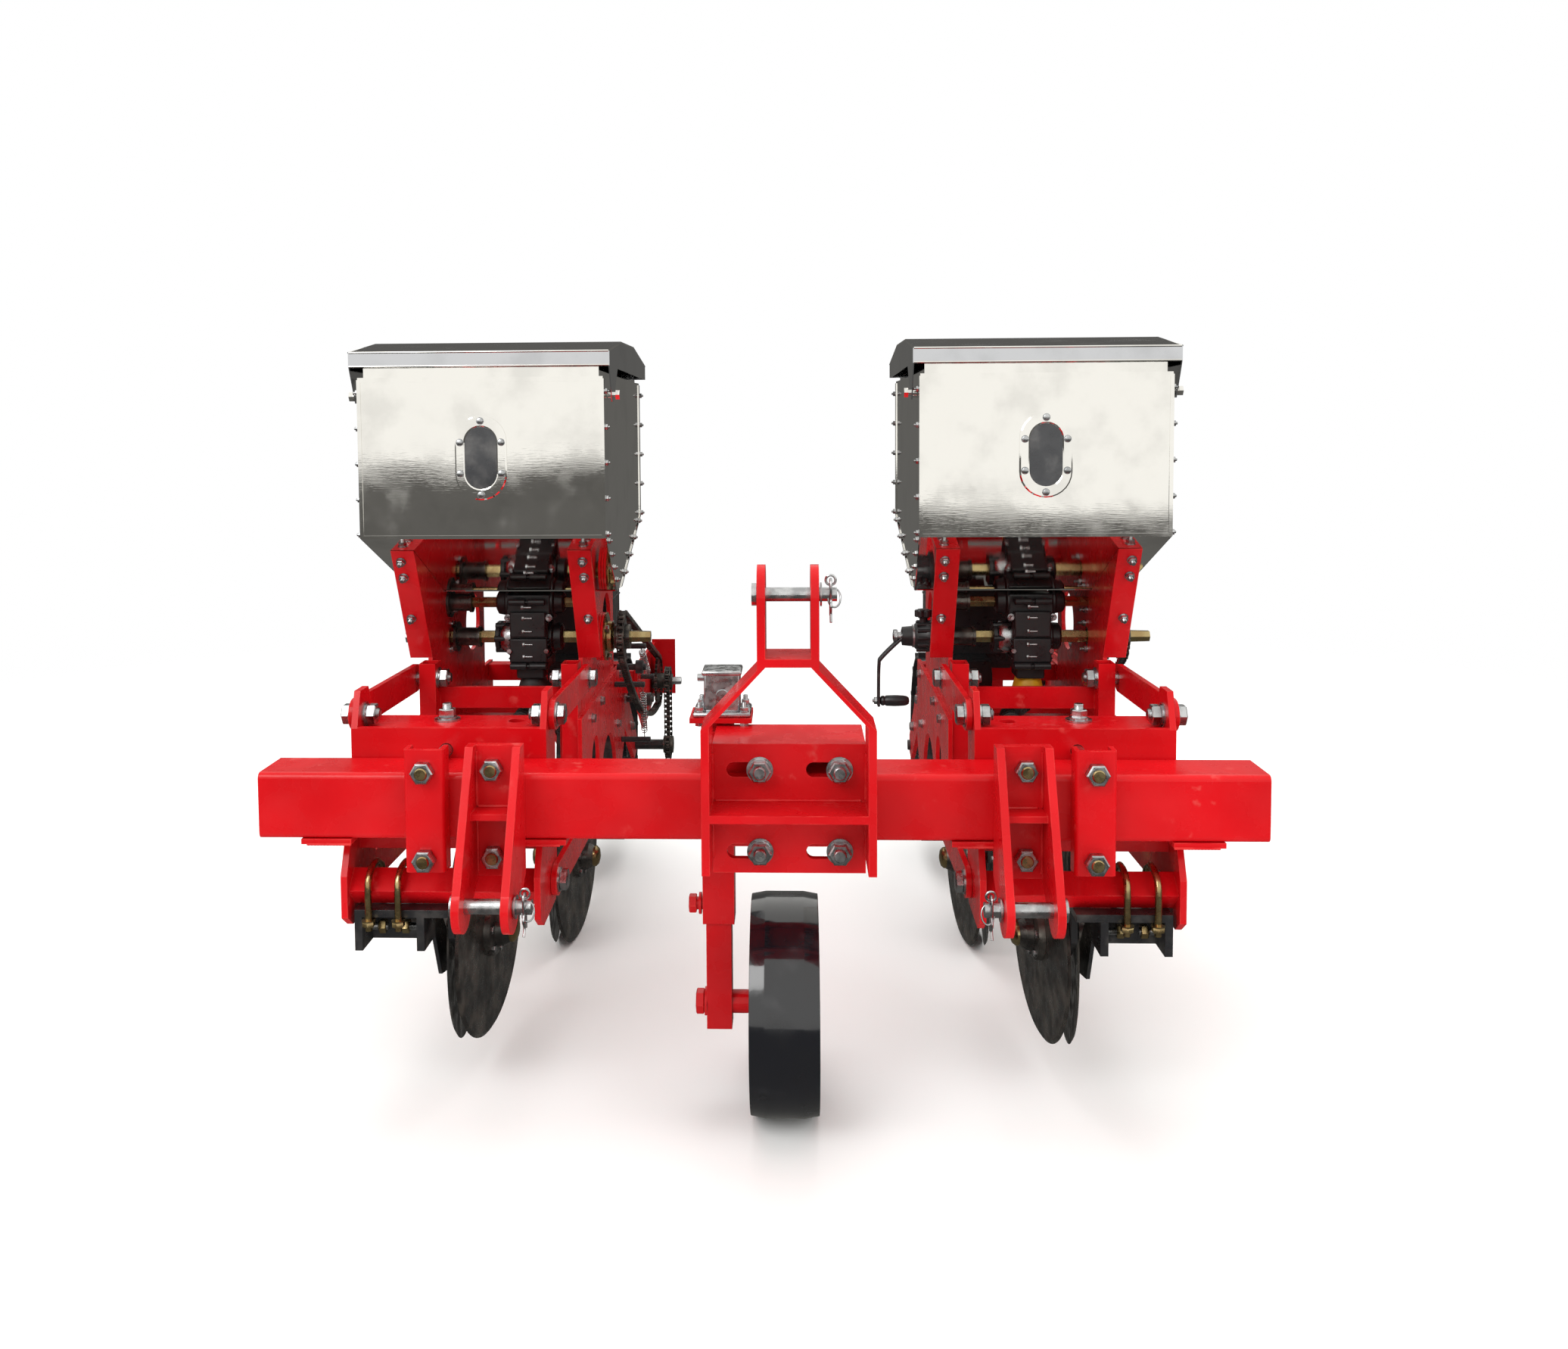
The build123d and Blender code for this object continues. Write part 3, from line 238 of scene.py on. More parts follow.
def red_paint():
    look = Look("red_enamel", (0.55, 0.004, 0.007), rough=0.34, coat=0.22, coat_rough=0.06)
    look.set("Specular IOR Level", 0.16)
    look.soft_edges(0.0016)
    cloudy = look.ramp(look.noise(5.0, 3.0), 0.35, 0.7)
    body = look.mix(cloudy, (0.50, 0.003, 0.006), (0.60, 0.005, 0.009))
    specks = look.ramp(look.noise(38.0, 8.0), 0.60, 0.74)
    dust = look.times(specks, look.ramp(look.noise(7.0, 2.0), 0.5, 0.65))
    body = look.mix(dust, body, (0.62, 0.06, 0.055))
    worn = look.times(look.edge_mask(0.0022), look.ramp(look.noise(26.0, 5.0), 0.4, 0.62))
    look.colour(look.mix(worn, body, (0.72, 0.05, 0.045)))
    look.uneven_gloss(18.0, 6.0, 0.3, 0.75, 0.2, 0.42)
    look.bump(look.noise(150.0, 1.0), 0.0001, 0.12)
    look.bump(look.noise(7.0, 2.0), 0.001, 0.06)
    return look.material


def mirror_sheet(name="polished_stainless", tone=(0.90, 0.885, 0.85), rough=0.03):
    look = Look(name, tone, metal=1.0, rough=rough)
    smudge = look.ramp(look.noise(11.0, 6.0), 0.45, 0.72)
    look.colour(look.mix(smudge, tone, tuple(0.86 * c for c in tone)))
    look.uneven_gloss(16.0, 8.0, 0.45, 0.85, rough, rough + 0.10)
    look.bump(look.noise(3.2, 1.0, (1.0, 1.0, 2.2)), 0.008, 0.07)
    look.bump(look.noise(900.0, 2.0, (0.05, 1.0, 1.0)), 0.0001, 0.10)
    return look.material


def zinc():
    look = Look("bright_zinc", (0.70, 0.71, 0.72), metal=1.0, rough=0.28)
    look.patches(60.0, 6.0, 0.35, 0.7, (0.40, 0.41, 0.42), (0.66, 0.67, 0.68))
    look.uneven_gloss(90.0, 4.0, 0.3, 0.7, 0.16, 0.42)
    look.bump(look.noise(420.0, 3.0), 0.0003, 0.4)
    return look.material


def gold_zinc():
    look = Look("yellow_zinc", (0.72, 0.55, 0.24), metal=1.0, rough=0.25)
    look.patches(34.0, 5.0, 0.35, 0.65, (0.52, 0.41, 0.20), (0.40, 0.28, 0.13))
    look.uneven_gloss(80.0, 5.0, 0.3, 0.7, 0.16, 0.36)
    look.bump(look.noise(380.0, 3.0), 0.0003, 0.4)
    return look.material


def dark_steel():
    look = Look("dark_steel", (0.10, 0.095, 0.09), metal=0.85, rough=0.42)
    look.patches(22.0, 7.0, 0.4, 0.68, (0.060, 0.056, 0.053), (0.19, 0.17, 0.15))
    look.uneven_gloss(45.0, 6.0, 0.3, 0.7, 0.20, 0.46)
    look.bump(look.noise(240.0, 4.0), 0.0004, 0.5)
    return look.material


def black_paint():
    look = Look("black_paint", (0.018, 0.018, 0.020), rough=0.36, coat=0.3)
    look.soft_edges(0.0014)
    look.patches(24.0, 6.0, 0.45, 0.75, (0.014, 0.014, 0.016), (0.06, 0.056, 0.052))
    look.uneven_gloss(30.0, 6.0, 0.3, 0.75, 0.24, 0.5)
    look.bump(look.noise(300.0, 2.0), 0.0004, 0.3)
    return look.material


def gloss_black():
    look = Look("gloss_black_enamel", (0.006, 0.0065, 0.009), rough=0.16, coat=0.8)
    look.soft_edges(0.003)
    look.patches(14.0, 7.0, 0.55, 0.8, (0.006, 0.0065, 0.009), (0.035, 0.035, 0.04))
    look.uneven_gloss(20.0, 7.0, 0.35, 0.8, 0.10, 0.34)
    look.bump(look.noise(46.0, 3.0), 0.0012, 0.16)
    return look.material


def black_plastic():
    look = Look("moulded_black", (0.016, 0.016, 0.017), rough=0.38)
    look.soft_edges(0.001)
    look.uneven_gloss(34.0, 5.0, 0.3, 0.7, 0.26, 0.5)
    look.bump(look.noise(700.0, 2.0), 0.0002, 0.4)
    return look.material


def rubber():
    look = Look("black_rubber", (0.022, 0.022, 0.023), rough=0.6)
    look.patches(30.0, 5.0, 0.4, 0.7, (0.018, 0.018, 0.019), (0.05, 0.048, 0.045))
    look.bump(look.noise(500.0, 3.0), 0.0003, 0.4)
    return look.material


# The window pane is coloured near black: painted shade of the hopper's dark inside, with random lighter
# patches.
def window_pane_painted_shade():
    look = Look("window_pane_painted_shade", (0.035, 0.037, 0.040), rough=0.12, coat=0.6)
    look.patches(30.0, 7.0, 0.4, 0.75, (0.028, 0.030, 0.034), (0.09, 0.09, 0.09))
    look.uneven_gloss(40.0, 6.0, 0.4, 0.7, 0.10, 0.30)
    return look.material


def yellow_boot():
    look = Look("yellow_boot", (0.80, 0.46, 0.02), rough=0.42)
    look.patches(30.0, 5.0, 0.4, 0.7, (0.82, 0.48, 0.02), (0.62, 0.33, 0.02))
    look.bump(look.noise(300.0, 2.0), 0.0003, 0.3)
    return look.material


RED = red_paint()
STAINLESS = mirror_sheet()
# The lids' sheet is a darker, bluer copy of the hopper's stainless: painted dark reflection.
LID_PAINTED_DARK = mirror_sheet("lid_stainless_painted_dark", (0.62, 0.63, 0.66), 0.04)
ZINC = zinc()
GOLD = gold_zinc()
STEEL = dark_steel()
BLACK = black_paint()
GLOSS = gloss_black()
PLASTIC = black_plastic()
RUBBER = rubber()
PANE_PAINTED_SHADE = window_pane_painted_shade()
YELLOW = yellow_boot()


def dress(node, material):
    """Gives a CAD node its material."""
    node = nodes[node]
    while len(node.material_slots) < 1:
        node.data.materials.append(None)
    for slot in node.material_slots:
        slot.link = "OBJECT"
        slot.material = material


LOOKS = {
    "red_paint": RED, "black_paint": BLACK, "stainless": STAINLESS, "zinc": ZINC, "gold_zinc": GOLD,
    "bare_steel": STEEL, "black_plastic": PLASTIC, "hose": RUBBER, "window": PANE_PAINTED_SHADE, "wheel_black": GLOSS,
}
for subpart in frame["record"]["subparts"]:
    dress(subpart["node"], LOOKS[subpart["material_slot"]])
# The lids get the darker stainless copy, a painted dark reflection.
for side, _ in ROWS:
    dress(f"{side}_hopper_lid", LID_PAINTED_DARK)


# ---------------------------------------------------------------- studio

def world():
    """White for the camera; for reflections, a dark treeline behind and dark ground in front."""
    sky = bpy.data.worlds.new("studio")
    bpy.context.scene.world = sky
    sky.use_nodes = True
    tree = sky.node_tree
    tree.nodes.clear()

    link = tree.links.new

    def add(kind, **values):
        made = tree.nodes.new("ShaderNode" + kind)
        for key, value in values.items():
            setattr(made, key, value)
        return made

    def ranged(source, low, high, start, end, blend="SMOOTHSTEP"):
        """Maps source from low..high to start..end."""
        made = add("MapRange", interpolation_type=blend)
        for key, value in (("From Min", low), ("From Max", high), ("To Min", start), ("To Max", end)):
            made.inputs[key].default_value = value
        link(source, made.inputs["Value"])
        return made.outputs["Result"]

    def worked(operation, one, other):
        made = add("Math", operation=operation)
        link(one, made.inputs[0])
        link(other, made.inputs[1])
        return made.outputs["Value"]

    direction = add("TexCoord").outputs["Generated"]
    parts = add("SeparateXYZ")
    link(direction, parts.inputs[0])
    ragged = add("TexNoise")
    ragged.inputs["Scale"].default_value = 9.0
    ragged.inputs["Detail"].default_value = 6.0
    link(direction, ragged.inputs["Vector"])
    edge = ranged(parts.outputs["Y"], -0.4, 0.6, -0.042, 0.34, "LINEAR")
    slope = ranged(parts.outputs["X"], -0.12, 0.16, 0.004, -0.036)
    shift = ranged(ragged.outputs["Fac"], 0.0, 1.0, -0.012, 0.012, "LINEAR")
    line = worked("ADD", worked("ADD", edge, slope), shift)
    above = worked("SUBTRACT", parts.outputs["Z"], line)
    share = ranged(above, -0.002, 0.003, 0.0, 1.0)
    colours = add("Mix", data_type="RGBA")
    pair = [s for s in colours.inputs if s.type == "RGBA"]
    pair[0].default_value = (0.115, 0.112, 0.105, 1)
    pair[1].default_value = (1.02, 1.01, 0.97, 1)
    link(share, colours.inputs["Factor"])
    surroundings = add("Background")
    link(next(s for s in colours.outputs if s.type == "RGBA"), surroundings.inputs["Color"])
    backdrop = add("Background")
    backdrop.inputs["Color"].default_value = (1, 1, 1, 1)
    choose = add("MixShader")
    link(add("LightPath").outputs["Is Camera Ray"], choose.inputs["Fac"])
    link(surroundings.outputs["Background"], choose.inputs[1])
    link(backdrop.outputs["Background"], choose.inputs[2])
    link(choose.outputs["Shader"], add("OutputWorld").inputs["Surface"])


def floor():
    """A pale round floor that fades out into the backdrop."""
    radius = 6.0
    form = bmesh.new()
    bmesh.ops.create_circle(form, cap_ends=True, segments=96, radius=radius)
    mesh = bpy.data.meshes.new("floor")
    form.to_mesh(mesh)
    form.free()
    look = Look("pale_floor", (0.93, 0.93, 0.93), rough=0.75)
    length = look.node("VectorMath", operation="LENGTH")
    look.link(look.place, length.inputs[0])
    fade = look.ramp(length.outputs["Value"], 1.6, radius - 1.5)
    clear = look.node("BsdfTransparent")
    mixed = look.node("MixShader")
    look.link(fade, mixed.inputs["Fac"])
    look.link(look.shader.outputs["BSDF"], mixed.inputs[1])
    look.link(clear.outputs["BSDF"], mixed.inputs[2])
    look.link(mixed.outputs["Shader"], look.tree.nodes["Material Output"].inputs["Surface"])
    mesh.materials.append(look.material)
    plane = bpy.data.objects.new("floor", mesh)
    plane.location.z = -0.0005
    plane.visible_glossy = False
    bpy.context.scene.collection.objects.link(plane)


def area_light(name, place, target, size, energy):
    light = bpy.data.lights.new(name, "AREA")
    light.shape = "SQUARE"
    light.size = size
    light.energy = energy
    lamp = bpy.data.objects.new(name, light)
    lamp.location = place
    lamp.rotation_mode = "QUATERNION"
    lamp.rotation_quaternion = (Vector(target) - Vector(place)).to_track_quat("-Z", "Y")
    lamp.visible_glossy = name == "key"
    bpy.context.scene.collection.objects.link(lamp)


def studio():
    world()
    floor()
    area_light("key", (-2.6, -3.4, 3.6), (0, 0, 0.6), 2.6, 95)
    area_light("fill", (3.2, -3.0, 2.4), (0, 0, 0.5), 2.6, 55)
    area_light("top", (0.0, 0.2, 4.2), (0, 0, 0.5), 3.4, 85)
    area_light("back", (-0.8, 4.2, 2.8), (0, 0, 0.6), 2.6, 60)


def camera():
    """Level with the lid seen from the tractor's seat side, turned a little to the left."""
    yaw, pitch, roll = -0.037, 0.063, 0.007
    ahead_flat = Vector((sin(yaw), cos(yaw), 0))
    side_flat = Vector((cos(yaw), -sin(yaw), 0))
    ahead = cos(pitch) * ahead_flat - Vector((0, 0, sin(pitch)))
    up_flat = sin(pitch) * ahead_flat + Vector((0, 0, cos(pitch)))
    right = cos(roll) * side_flat - sin(roll) * up_flat
    up = sin(roll) * side_flat + cos(roll) * up_flat
    lens = bpy.data.cameras.new("camera")
    lens.sensor_width = 36.0
    lens.lens = 30.61
    lens.shift_x = 0.0254
    lens.shift_y = -0.1108
    turn = Matrix((right, up, -ahead)).transposed().to_4x4()
    eye = bpy.data.objects.new("camera", lens)
    eye.matrix_world = Matrix.Translation((0.055, -2.652, 1.1035)) @ turn
    bpy.context.scene.collection.objects.link(eye)
    bpy.context.scene.camera = eye


studio()
camera()
bpy.context.scene.view_settings.view_transform = "Standard"


# ---------------------------------------------------------------- mesh building

def curve(points, steps=6, closed=False):
    """A smooth line through points, as Catmull and Rom draw it."""
    points = [Vector(p) for p in points]
    count = len(points)
    line = []
    for i in range(count if closed else count - 1):
        if closed:
            a, b, c, d = (points[(i + k) % count] for k in (-1, 0, 1, 2))
        else:
            a, b, c, d = (points[min(max(i + k, 0), count - 1)] for k in (-1, 0, 1, 2))
        for step in range(steps):
            t = step / steps
            line.append(0.5 * (
                2 * b + (c - a) * t + (2 * a - 5 * b + 4 * c - d) * t**2 + (3 * b - a - 3 * c + d) * t**3
            ))
    if not closed:
        line.append(points[-1])
    return line


class Form:
    """A mesh in millimetres from a base point, made of turned, swept and cut shapes."""

    def __init__(self, base=BEAM):
        self.mesh = bmesh.new()
        self.base = base

    def verts(self, points):
        return [self.mesh.verts.new(self.base + Vector(p) * MM) for p in points]

    def skin(self, rings, closed=False):
        """Joins equal rings of points into one closed surface."""
        rings = [self.verts(ring) for ring in rings]
        count = len(rings[0])
        pairs = list(zip(rings, rings[1:]))
        if closed:
            pairs.append((rings[-1], rings[0]))
        for low, high in pairs:
            for i in range(count):
                j = (i + 1) % count
                self.mesh.faces.new((low[i], low[j], high[j], high[i]))
        if not closed:
            self.mesh.faces.new(reversed(rings[0]))
            self.mesh.faces.new(rings[-1])

    def turned(self, start, way, profile, sides=28, closed=False):
        """Turns a profile of (height, radius) about an axis."""
        way = Vector(way).normalized()
        across = way.cross(Z if abs(way.z) < 0.9 else X).normalized()
        over = way.cross(across)
        rings = []
        for height, radius in profile:
            centre = Vector(start) + way * height
            angles = [2 * pi * i / sides for i in range(sides)]
            rings.append([centre + radius * (cos(a) * across + sin(a) * over) for a in angles])
        self.skin(rings, closed)

    def rod(self, start, way, radius, length, sides=24, edge=0.8):
        """A round bar with a small chamfer at both ends."""
        edge = min(edge, radius * 0.3, length * 0.3)
        profile = [(0, radius - edge), (edge, radius), (length - edge, radius), (length, radius - edge)]
        self.turned(start, way, profile, sides)

    def ring(self, start, way, inner, outer, length, sides=28):
        """A tube or washer."""
        self.turned(start, way, [(0, inner), (0, outer), (length, outer), (length, inner)], sides, True)

    def nut(self, start, way, across, height):
        """A hexagon with chamfered corners."""
        radius = across / sqrt(3)
        profile = [
            (0, radius * 0.93), (height * 0.09, radius), (height * 0.88, radius), (height, radius * 0.87),
        ]
        self.turned(start, way, profile, 6)

    def thread(self, start, way, radius, length, pitch=2.2):
        """A threaded stud end as fine ridges."""
        profile = []
        for i in range(max(1, int(length / pitch))):
            profile += [(i * pitch, radius * 0.93), (i * pitch + pitch * 0.5, radius)]
        profile.append((length, radius * 0.84))
        self.turned(start, way, profile, 20)

    def bolt_end(self, start, way, size, reach=0.35):
        """Washer, nut and stud end on a plate."""
        way = Vector(way)
        start = Vector(start)
        self.ring(start, way, size * 0.5, size * 0.98, size * 0.13)
        self.ring(start + way * size * 0.13, way, size * 0.5, size * 0.8, size * 0.14)
        self.nut(start + way * size * 0.27, way, size * 1.5, size * 0.7)
        self.thread(start + way * size * 0.9, way, size * 0.47, size * (0.07 + reach), size * 0.1)

    def bolt_head(self, start, way, size):
        """Washer and hexagon head on a plate."""
        way = Vector(way)
        self.ring(start, way, size * 0.45, size * 0.98, size * 0.13)
        self.nut(Vector(start) + way * size * 0.13, way, size * 1.5, size * 0.62)

    def bar(self, points, radius, sides=10, closed=False):
        """A round bar swept along points."""
        points = [Vector(p) for p in points]
        count = len(points)
        rings = []
        over = None
        for i, point in enumerate(points):
            before = points[i - 1] if closed or i else point
            after = points[(i + 1) % count] if closed or i < count - 1 else point
            along = (after - before).normalized()
            if over is None:
                over = along.orthogonal().normalized()
            over = (over - along * over.dot(along)).normalized()
            across = along.cross(over)
            angles = [2 * pi * k / sides for k in range(sides)]
            rings.append([point + radius * (cos(a) * over + sin(a) * across) for a in angles])
        self.skin(rings, closed)

    def block(self, x0, x1, y0, y1, z0, z1):
        """A box between two places along each axis."""
        self.plate([(x0, y0, z0), (x1, y0, z0), (x1, y1, z0), (x0, y1, z0)], (0, 0, z1 - z0))

    def plate(self, outline, depth):
        """A flat outline given some depth."""
        outline = [Vector(p) for p in outline]
        self.skin([outline, [p + Vector(depth) for p in outline]])

    def sprocket(self, centre, teeth, thick):
        """A toothed chain wheel across X, round its pitch circle."""
        x, y, z = centre
        steps = ((-0.2, -3.4), (0.0, -4.1), (0.2, -3.4), (0.4, 2.8), (0.5, 3.6), (0.6, 2.8))
        outline = []
        for tooth in range(teeth):
            for share, height in steps:
                angle = 2 * pi * (tooth + share) / teeth
                radius = pitch_radius(teeth) + height
                outline.append((x - thick / 2, y + radius * cos(angle), z + radius * sin(angle)))
        self.plate(outline, (thick, 0, 0))

    def piece(self, name, look, slot, body=None, replaces=(), bevel=0.0, angle=38):
        """Closes the mesh and puts it on its body."""
        bmesh.ops.recalc_face_normals(self.mesh, faces=self.mesh.faces)
        mesh = bpy.data.meshes.new(name)
        self.mesh.to_mesh(mesh)
        self.mesh.free()
        mesh.materials.append(look)
        mesh.shade_smooth()
        mesh.set_sharp_from_angle(angle=radians(angle))
        made = bpy.data.objects.new(name, mesh)
        bpy.context.scene.collection.objects.link(made)
        if bevel:
            soften = made.modifiers.new("edges", "BEVEL")
            soften.width = bevel * MM
            soften.segments = 2
            soften.limit_method = "ANGLE"
            soften.angle_limit = radians(50)
        if body:
            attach(made, body)
        if replaces:
            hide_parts(*replaces)
        return made


def islands(node):
    """The boxes of a node's separate solids, in millimetres from the toolbar's middle."""
    mesh = nodes[node].data
    keys = [tuple(round(c, 5) for c in v.co) for v in mesh.vertices]
    leader = {key: key for key in keys}

    def find(key):
        while leader[key] != key:
            leader[key] = leader[leader[key]]
            key = leader[key]
        return key

    for face in mesh.polygons:
        first = find(keys[face.vertices[0]])
        for index in face.vertices[1:]:
            leader[find(keys[index])] = first
    groups = {}
    for key in leader:
        groups.setdefault(find(key), []).append(key)
    boxes = []
    for group in groups.values():
        low = Vector(min(p[i] for p in group) for i in range(3))
        high = Vector(max(p[i] for p in group) for i in range(3))
        boxes.append(((low - BEAM) / MM, (high - BEAM) / MM))
    return sorted(boxes, key=lambda box: tuple(round(c) for c in box[0]))


# ---------------------------------------------------------------- toolbar, mast and their bolts

def frame_fasteners():
    """Long clamp bolts along Y and pivot bolts along X, one for each solid of the CAD node."""
    form, ends = Form(), Form()
    for low, high in islands("frame_bolts"):
        centre = (low + high) / 2
        size = high - low
        if size.y > size.x:
            front, back = low.y + 13, high.y - 18
            place = Vector((centre.x, front, centre.z))
            form.rod(place, Y, 9.9, back - front)
            form.bolt_head((centre.x, back, centre.z), Y, 20)
            if abs(centre.x) > 300:
                form.nut(place, -Y, 30, 16)
                form.ring(place - Y * 16, -Y, 10.2, 12.6, 0.8)
                ends.thread(place - Y * 15, -Y, 9.6, 4, 1.4)
            else:
                form.bolt_end(place, -Y, 20)
        else:
            pivot_fastener(form, low, high)
    form.piece("frame_bolts_detail", ZINC, "zinc", "frame", ("frame_bolts",))
    ends.piece("clamp_bolt_ends", GOLD, "gold_zinc", "frame")


def pivot_fastener(form, low, high):
    """A link pivot: head outside, lock nut inside."""
    centre = (low + high) / 2
    row = 1 if centre.x > 0 else -1
    outward = 1 if abs(centre.x) > ROW_X else -1
    outward *= row
    head, end = (high.x, low.x) if outward > 0 else (low.x, high.x)
    face, inner = head - outward * 13.2, end + outward * 22
    form.rod((inner, centre.y, centre.z), X * outward, 10.9, abs(face - inner))
    form.bolt_head((face, centre.y, centre.z), X * outward, 20)
    form.bolt_end((inner, centre.y, centre.z), -X * outward, 20, 0.25)


def unit_fasteners(name):
    form = Form()
    for low, high in islands(f"{name}_unit_bolts"):
        pivot_fastener(form, low, high)
    form.piece(f"{name}_unit_bolts_detail", ZINC, "zinc", f"{name}_unit", (f"{name}_unit_bolts",))


def welds():
    """Weld beads where the mast's plates meet, and where the hitch brackets do."""
    form = Form()

    def bead(start, end, radius=2.6):
        start, end = Vector(start), Vector(end)
        count = int((end - start).length / 2.4)
        along = (end - start).normalized()
        ripple = [(i * 2.4, radius * (1.0 if i % 2 else 0.8)) for i in range(count)]
        form.turned(start, along, ripple, 8)

    low, high = local_box("hitch_mast")
    left, right = low.x + 12, high.x - 12
    for x in (left, right):
        bead((x, HITCH_FRONT, -70), (x, HITCH_FRONT, 0))
        bead((x, HITCH_FRONT, 16), (x, HITCH_FRONT, 90))
    bead((left + 4, HITCH_FRONT, 15), (right - 4, HITCH_FRONT, 15))
    bead((left + 4, HITCH_FRONT, 1), (right - 4, HITCH_FRONT, 1))
    for row in (-1, 1):
        for side in (-1, 1):
            x = row * HITCH_X + side * 28
            bead((x, HITCH_FRONT, -92), (x, HITCH_FRONT, -8))
            bead((x, HITCH_FRONT, 6), (x, HITCH_FRONT, 90))
        bead((row * HITCH_X - 26, HITCH_FRONT, 5), (row * HITCH_X + 26, HITCH_FRONT, 5))
    form.piece("hitch_weld_beads", RED, "red_paint", "frame")
    form = Form()
    for row in (-1, 1):
        for side in (-1, 1):
            x = row * ROW_X + side * 144 - side
            bead((x, 59, -86), (x, 59, 90))
            start = row * ROW_X + side * 124
            bead((start, -50, -58), (start + side * 70, -50, -58), 2.2)
    form.piece("bracket_weld_beads", RED, "red_paint", "frame")


def spring_clips():
    """A hitch pin clip through the far end of each pin: straight leg, waved leg and eye."""
    form = Form()
    for low, high in islands("hitch_pins"):
        way = -1 if low.x >= 300 else 1
        long_end = high.x if way > 0 else low.x
        x = long_end - way * 9
        y, z = (low.y + high.y) / 2, high.z - 18
        waved = [
            (x, y - 3, z + 22), (x, y - 14, z + 20), (x, y - 16, z + 6), (x, y - 12, z - 6),
            (x, y - 17, z - 16), (x, y - 10, z - 26), (x, y - 16, z - 38),
        ]
        form.bar(curve([(x, y, z + 16), *waved], 6), 1.9, 8)
        eye = [(x + 7 * cos(a), y - 4, z + 21 + 7 * sin(a)) for a in (2 * pi * i / 20 for i in range(20))]
        form.bar(eye, 1.9, 8, closed=True)
        form.ring((long_end - way * 24, y, z), X * way, 11.2, 17, 2.4)
        ring = [
            (x + way * (5 + 9 * cos(a)), y - 8 + 4 * sin(a), z - 4 + 13 * sin(a))
            for a in (2 * pi * i / 24 for i in range(24))
        ]
        form.bar(ring, 1.3, 8, closed=True)
    form.piece("hitch_pin_clips", ZINC, "zinc", "frame")


def opener_u_bolts():
    """Round-bar U-bolts over the turned cross tube, and the two side screws of each holder."""
    gold, screws = Form(), Form()
    for low, high in islands("opener_u_bolts"):
        centre = (low + high) / 2
        size = high - low
        if size.y > 60:
            x, y0, y1 = centre.x, low.y + 5, high.y - 5
            top, foot = high.z - 5, low.z
            route = [
                (x, y0, foot), (x, y0, foot + 12), (x, y0, top - 34), (x, y0 + 5, top - 14),
                (x, y0 + 22, top - 2), (x, centre.y + 6, top), (x, y1 - 22, top - 2),
                (x, y1 - 5, top - 14), (x, y1, top - 34), (x, y1, foot + 12), (x, y1, foot),
            ]
            gold.bar(curve(route, 5), 5.4, 14)
            for y in (y0, y1):
                gold.ring((x, y, foot + 17), -Z, 5.2, 10.5, 2)
                gold.nut((x, y, foot + 15), -Z, 17, 9)
        else:
            row = 1 if centre.x > 0 else -1
            inward = 1 if abs(centre.x) < ROW_X + 80 else -1
            inward *= -row
            start = high.x if inward < 0 else low.x
            screw_foot = Vector((start, centre.y, centre.z))
            screws.thread(screw_foot, X * inward, 6, size.x, 1.6)
            gold.nut(screw_foot + X * inward * 3, X * inward, 19, 11)
    gold.piece("opener_u_bolts_detail", GOLD, "gold_zinc", "frame", ("opener_u_bolts",))
    screws.piece("opener_side_screws", ZINC, "zinc", "frame")


def height_screw_cap():
    """Cast gear cap on the post's flange, with its four flange bolts and side pin."""
    low, high = local_box("post_cap")
    x, y = (low.x + high.x) / 2 + 1, (low.y + high.y) / 2
    flange_top, top = low.z + 8, high.z
    form = Form()
    form.block(x - 29, x + 27, y - 27, y + 27, flange_top - 1, top - 3)
    form.block(x - 32, x + 30, y - 30, y + 30, top - 8, top)
    form.block(low.x, high.x, low.y, high.y, low.z, flange_top)
    form.rod((x - 26, y - 8, top - 14), -X, 6, 14)
    form.rod((x, y - 25, top - 40), -Y, 11, 6)
    form.piece("height_screw_cap", ZINC, "zinc", "frame", ("post_cap",), bevel=3.0)
    bolts = Form()
    for dx in (-36, 34):
        for dy in (-29, 29):
            bolts.bolt_end((x + dx, y + dy, flange_top), Z, 8, 0.9)
            bolts.nut((x + dx, y + dy, low.z - 8), -Z, 13, 6)
    bolts.piece("height_screw_cap_bolts", ZINC, "zinc", "frame")


def post_bolts():
    """Painted hexagon heads on the sleeve's lock screw and the wheel's axle."""
    sleeve_low, _ = local_box("post_sleeve")
    post_low, _ = local_box("gauge_post")
    wheel = local(pivot("gauge_wheel_spin"))
    lock = Form()
    lock.nut((sleeve_low.x + 6, wheel.y, sleeve_low.z + 25), -X, 26, 12)
    lock.ring((sleeve_low.x + 14, wheel.y, sleeve_low.z + 25), -X, 9, 17, 4)
    lock.piece("sleeve_lock_screw", RED, "red_paint", "frame")
    axle = Form()
    axle.nut((post_low.x + 9, wheel.y, wheel.z), -X, 34, 13)
    axle.ring((post_low.x + 14, wheel.y, wheel.z), -X, 12, 22, 4)
    axle.piece("gauge_axle_head", RED, "red_paint", "gauge_post")
    rim = Form()
    low, high = local_box("gauge_wheel")
    rim.ring((high.x - 7.5, wheel.y, wheel.z), X, 158, 165.6, 7.3, 72)
    rim.ring((high.x - 60, wheel.y, wheel.z), X, 26, 38, 34, 40)
    for spoke in range(5):
        angle = 2 * pi * spoke / 5 + 0.3
        rim.rod((low.x + 6, wheel.y + 62 * cos(angle), wheel.z + 62 * sin(angle)), X, 7, 7)
    rim.piece("gauge_wheel_rim", GLOSS, "wheel_black", "gauge_wheel")


# ---------------------------------------------------------------- openers

